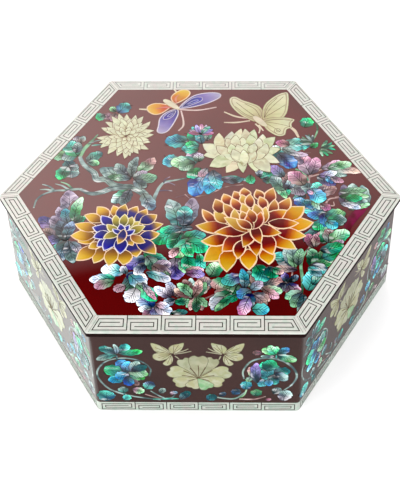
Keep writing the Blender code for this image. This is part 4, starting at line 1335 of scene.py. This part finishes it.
wallLeaves = [
    (-41, 50, -51.5, 45.8, 4.6, "teal grey"), (-41, 51, -49.6, 56.4, 5.4, "slate teal"),
    (-41, 51, -42, 59, 2.6, "slate grey"), (-40, 51.5, -35.5, 59.5, 5.6, "slate teal"),
    (-40, 52, -27.6, 53.6, 4.8, "teal emerald"), (33.5, 52, 28.8, 52.4, 4, "pink rose"),
    (40, 50, 33, 49.6, 2.6, "slate grey"), (40, 51, 33.6, 55.6, 4.8, "emerald lime"),
    (40.6, 51, 37.4, 58.6, 5, "emerald lime"), (41, 51, 41.2, 57.6, 3.6, "teal emerald"),
    (41.5, 51.6, 46.8, 56.8, 4.8, "shadow blue"), (41.5, 50.6, 51.4, 46, 5.6, "teal lime"),
    (-48, 9.8, -48, 19, 9.6, "cyan teal"), (-39.5, 17, -39.5, 22.6, 5.4, "teal grey"),
    (-34.4, 20.5, -28.8, 17.5, 5.6, "pink lime"), (-27.6, 20.8, -25, 27.4, 6.4, "teal slate"),
    (-20, 17, -18, 21.5, 3.8, "grey"), (-15, 17, -10.8, 18, 3, "pink slate"),
    (-9, 11.5, -4, 18.5, 5, "slate teal"), (-39.5, 10.8, -36.5, 15, 4.6, "teal"),
    (25, 20.6, 26, 28, 6, "blue cyan"), (19, 16, 21.6, 21, 5.2, "blue slate"),
    (4.8, 11.2, 9.4, 15.6, 5.6, "cyan teal"), (11.5, 14.5, 14.6, 18, 3.6, "slate"),
    (30, 14.8, 31, 20.8, 6, "emerald lime"), (40, 17, 42.6, 22.5, 5.4, "shadow grey"),
    (45.6, 10.5, 48.4, 19.6, 7.4, "mauve grey"), (36, 11.4, 39, 12, 2.3, "pink"),
]
wallVein = (30, 60, 66)
wallRings = [  # the lobes that fill the two rings
    (-38, 34, -40, 46, 7.8, "violet blue"), (-37.4, 35, -34.6, 44.6, 5.6, "slate blue"),
    (-39, 36, -48.4, 37, 9.4, "teal emerald"), (-37, 31.4, -46.8, 28.6, 6.4, "teal cyan"),
    (-36, 35, -43, 31.4, 7.2, "blue cyan"), (-34, 36, -30, 45, 5.4, "slate grey"),
    (-33.6, 36.4, -25.8, 40.6, 5.6, "slate teal"), (-36, 32, -35.4, 23.8, 5.8, "slate blue"),
    (-35, 31, -30.8, 24, 4, "mauve rose"), (-36, 33, -27.6, 29.6, 5.6, "teal lime"),
    (-36, 36, -25.6, 33.2, 6.8, "lime lime"), (29.6, 31, 27.4, 40.4, 3.6, "moss rose"),
    (28.6, 32.6, 25.8, 27.8, 3.4, "grey moss"), (31.4, 26.6, 31, 44, 5.4, "slate violet"),
    (36, 37, 34.6, 44.8, 4.6, "teal emerald"), (37.4, 37, 39.4, 46.4, 7.8, "teal emerald"),
    (40, 36, 48.4, 37, 7.4, "slate teal"), (40, 35, 46.4, 28.6, 6.4, "slate grey"),
    (39.6, 34, 41.4, 25.6, 5.8, "shadow teal"), (37.8, 30.4, 37.8, 24.2, 4.4, "slate blue"),
    (36, 30.6, 32.4, 23.6, 5.4, "blue cyan"), (38.4, 36, 42, 42, 5, "blue teal"),
    (37, 40.4, 35.4, 29.6, 7.4, "cyan teal"),
]
wallStems = [
    ([(-20, 11), (-28, 12.5), (-37, 15), (-46, 20), (-51, 28), (-52, 36), (-47, 44.5), (-38, 47.5),
      (-29, 45), (-24.2, 38.5), (-25, 32)], (1.0, 1.2, 1.0, 1.0, 0.8), "grey"),
    ([(24.5, 30), (24, 37), (28, 45), (35, 48), (43, 46.5), (49, 41), (52, 33), (49.5, 25), (44, 18.5)],
     (0.8, 1.2, 1.6, 1.2, 0.7), "grey"), ([(-41, 46), (-41, 50)], (0.9, 0.8), "teal"),
    ([(41, 47), (41, 50.5)], (0.9, 0.8), "teal"),
    ([(-28, 16), (-23, 13.5), (-19, 12)], (0.7, 1.0, 0.9), "rose"),
    ([(-25, 19), (-21, 15), (-17, 12)], (0.7, 1, 0.7), "grey"),
    ([(-19, 12), (-14, 13), (-12, 16)], (1.0, 0.8), "grey"),
    ([(-24, 11.5), (-16, 12), (-10, 12)], (0.7, 1.6, 0.7), "teal"),
    ([(9, 14), (14, 12.5), (20, 12.5), (25, 18)], (1.0, 1.2, 0.9), "grey"),
    ([(18, 12), (24, 15), (26, 21)], (1.2, 0.8), "lime"),
    ([(22, 12), (30, 12), (36, 14.5)], (1.0, 1.2, 0.7), "rose"),
    ([(-39, 15), (-39.5, 18)], (0.8, 0.8), "teal"),
]


# A petal that widens from its root and ends in two lobes with a notch between them
notchForm = ((0.0, 0.05), (0.3, 0.26), (0.62, 0.45), (0.84, 0.5), (0.97, 0.38), (1.02, 0.2), (0.97, 0.0))


def notchedPetal(root, tip, width):
    root, along = np.asarray(root, float), np.asarray(tip, float) - root
    left = np.array([-along[1], along[0]]) / math.hypot(*along) * width
    form = np.array(notchForm + tuple((u, -v) for u, v in notchForm[-2::-1]))
    return root + form[:, :1] * along + form[:, 1:] * left


def makeWallPictures():
    rng = np.random.default_rng(37)
    look = wallPicture
    leaves, petals, rims, lines, seams = [newStock() for _ in range(5)]
    stocks = leaves, lines, seams
    groove, rim = paintOf(look["groove"]), paintOf(look["rim"])
    pistil = np.array(look["pistil"], float)

    def framed(outline, i, hue, line):
        level = look["level"] + look["step"] * i
        addShape(rims, plane, outline, level, rim)
        paint = paintOf(*shellHues[hue], rng.uniform(0, 3))
        addShape(petals, plane, outline, look["level"] + look["rise"] + look["step"] * i, paint, line,
                 look["edgeShade"])

    for k in range(6):
        out, along = sideDirections(k)
        plane = drawingPlane(out * boxSizes["wallApothem"] + (0, 0, look["drop"]), along, (0, 0, 1))
        for i, (points, widths, hue) in enumerate(wallStems):
            paint = paintOf(*shellHues[hue], rng.uniform(0, 3))
            addStem(leaves, plane, points, widths, 0.012 + 0.002 * (i % 3), paint)
        for i, (x0, y0, x1, y1, width, hues) in enumerate(wallLeaves + wallRings):
            level = 0.02 + 0.006 * (i % 3) if i < len(wallLeaves) else 0.04 + 0.012 * (i % 12)
            addLobe(stocks, plane, (x0, y0), (x1, y1), width, hues.split(), level, rng, wallVein,
                    look["closing"])
        for i, (tip, width, hue) in enumerate(wallPetals):
            framed(notchedPetal(pistil, tip, width), i, hue, look["petalLine"])
        for tip in pistilTips:
            path = smoothPath([pistil, (pistil + tip) / 2 + (0.3, 0.3), tip])
            addStrip(lines, plane, path, np.linspace(0.12, 0.26, len(path)), look["pistilLevel"], groove,
                     wide=False)
        for mirrored in (False, True):
            for i, outline in enumerate(wallWings):
                outline = np.array(outline, float)
                if mirrored:
                    outline[:, 0] = wallMirror - outline[:, 0]
                framed(outline, i, "cream", look["wingLine"])
                root, middle = outline[0], outline.mean(0)
                for share, spread in wingGrooveFans:
                    way = (middle - root) * share
                    end = root + way + spread * np.array([-way[1], way[0]])
                    path = smoothPath([root, (root + end) / 2, end], 3)
                    addStrip(lines, plane, path, look["grooveWidth"], look["grooveLevel"], groove, wide=False)
        for points in wallFeelers:
            addStem(petals, plane, points, (0.6, 0.8, 0.5), 0.02, paintOf(look["feeler"]), 0.8)
    buildPiece(leaves, "wallLeaves", wallAbalone)
    buildPiece(rims, "wallPetalRims", wallPearl)
    buildPiece(petals, "wallPetals", wallPearl)
    buildPiece(lines, "wallEngraving", ink)
    buildPiece(seams, "wallLeafSeams", gapLacquer)


makeWallPictures()

for node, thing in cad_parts.items():
    if node == "floor" or node.startswith("lid_rim"):
        thing.data.materials.clear()
        thing.data.materials.append(lacquer)


# Camera: it stands in front and above, looks down by the pitch, and is turned a little to the left.
cameraLook = {
    "place": (0.02134, -0.5166, 0.60352), "lens": 97.83, "pitch": 48.185, "yaw": -2.42, "roll": -1.689,
}


def makeCamera():
    look = cameraLook
    data = bpy.data.cameras.new("camera")
    data.lens = look["lens"]
    data.sensor_width = 36
    data.clip_start = 0.01
    camera = bpy.data.objects.new("camera", data)
    bpy.context.scene.collection.objects.link(camera)
    yaw, pitch, roll = (math.radians(look[name]) for name in ("yaw", "pitch", "roll"))
    turns = ((-yaw, "Z"), (math.pi / 2 - pitch, "X"), (roll, "Z"))
    first, second, third = [Matrix.Rotation(angle, 4, axis) for angle, axis in turns]
    camera.matrix_world = Matrix.Translation(look["place"]) @ (first @ second @ third)
    bpy.context.scene.camera = camera


makeCamera()

# The world is a bright tent, dimmer low down at the sides, with a wide low light in front. Behind the
# box there is a soft light low down, brighter to the left, with a dark gap over it. Its upper edge
# slopes to the right.
studioLook = {"top": 2.42, "left": 1.0, "right": 0.32, "upper": 0.5, "frontLight": 9.0, "frontFrom": -0.4,
              "frontTo": -0.7, "backFrom": 0.40, "backTo": 0.52, "slope": 0.05, "boxLow": 0.56,
              "boxEdge": 0.722, "gapEdge": 0.747, "boxLight": 4.5, "gapLight": 0.04, "boxLean": -3.7,
              "boxColour": (1.17, 1.0, 0.95, 1), "tentColour": (1.0, 0.985, 1.0, 1)}


def makeStudio():
    look = studioLook
    world = bpy.data.worlds.new("studio")
    bpy.context.scene.world = world
    world.use_nodes = True
    nodes, links = world.node_tree.nodes, world.node_tree.links
    back = nodes["Background"]
    split = nodes.new("ShaderNodeSeparateXYZ")
    links.new(nodes.new("ShaderNodeTexCoord").outputs["Generated"], split.inputs[0])
    x, y, z = split.outputs

    def calculate(operation, first, second):
        node = nodes.new("ShaderNodeMath")
        node.operation = operation
        for socket, value in zip(node.inputs, (first, second)):
            if isinstance(value, (int, float)):
                socket.default_value = value
            else:
                links.new(value, socket)
        return node.outputs[0]

    side = addRange(nodes, links, x, -0.7, 0.7, look["left"], look["right"])
    low = addRange(nodes, links, z, look["upper"], 0.0)
    front = addRange(nodes, links, y, look["frontFrom"], look["frontTo"], 0.0, look["frontLight"])
    lower = calculate("MULTIPLY", low, calculate("ADD", side, front))
    upper = calculate("MULTIPLY", calculate("SUBTRACT", 1.0, low), look["top"])
    tent = calculate("ADD", lower, upper)
    sloped = calculate("ADD", z, calculate("MULTIPLY", x, look["slope"]))
    lean = calculate("ADD", calculate("MULTIPLY", x, look["boxLean"]), 1.0)
    box = calculate("MULTIPLY", lean, look["boxLight"])
    over = addRange(nodes, links, sloped, look["boxEdge"], look["gapEdge"])
    under = addRange(nodes, links, z, look["boxLow"], look["boxLow"] + 0.05)
    gap = calculate("MULTIPLY", over, look["gapLight"])
    boxed = calculate("ADD", calculate("MULTIPLY", calculate("SUBTRACT", 1.0, over), box), gap)
    behind = calculate("MULTIPLY", addRange(nodes, links, y, look["backFrom"], look["backTo"]), under)
    rest = calculate("MULTIPLY", calculate("SUBTRACT", 1.0, behind), tent)
    total = calculate("ADD", rest, calculate("MULTIPLY", behind, boxed))
    links.new(total, back.inputs["Strength"])
    boxShare = calculate("MULTIPLY", behind, calculate("SUBTRACT", 1.0, over))
    links.new(addMix(nodes, links, boxShare, look["tentColour"], look["boxColour"]), back.inputs["Color"])


makeStudio()

# A low light panel that lies on the floor along the left wall, which mirrors it. "beside" and "back"
# are its middle, outwards from the wall and back along it.
panelLight = {"side": 5, "beside": 24, "back": 28, "long": 180, "wide": 44, "height": 0.6,
              "radiance": 1.7, "colour": (0.93, 1.0, 0.96)}


def makePanelLight():
    look = panelLight
    out, along = sideDirections(look["side"])
    place = out * (boxSizes["wallApothem"] + look["beside"]) - along * look["back"]
    place = place + np.array([0, 0, look["height"]])
    data = bpy.data.lights.new("panelLight", "AREA")
    data.shape = "RECTANGLE"
    data.size, data.size_y = look["long"] * mm, look["wide"] * mm
    data.energy = look["radiance"] * math.pi * data.size * data.size_y
    data.color = look["colour"]
    light = bpy.data.objects.new("panelLight", data)
    bpy.context.scene.collection.objects.link(light)
    turn = Matrix([along, -out, (0, 0, -1)]).transposed().to_4x4()      # a lamp shines along its own -Z
    light.matrix_world = Matrix.Translation(place * mm) @ turn


makePanelLight()

floorLook = {"reach": 30, "colour": (0.64, 0.64, 0.635, 1), "roughness": 0.8}


def makeFloor():
    look = floorLook
    corners = [(x * look["reach"], y * look["reach"], 0) for x, y in ((-1, -1), (1, -1), (1, 1), (-1, 1))]
    mesh = bpy.data.meshes.new("floor")
    mesh.from_pydata(corners, [], [(0, 1, 2, 3)])
    floor = bpy.data.objects.new("paleFloor", mesh)
    bpy.context.scene.collection.objects.link(floor)
    material, _, _, shader = shaderOf("paleFloor")
    shader.inputs["Base Color"].default_value = look["colour"]
    shader.inputs["Roughness"].default_value = look["roughness"]
    mesh.materials.append(material)


makeFloor()

bpy.context.scene.view_settings.view_transform = "Standard"
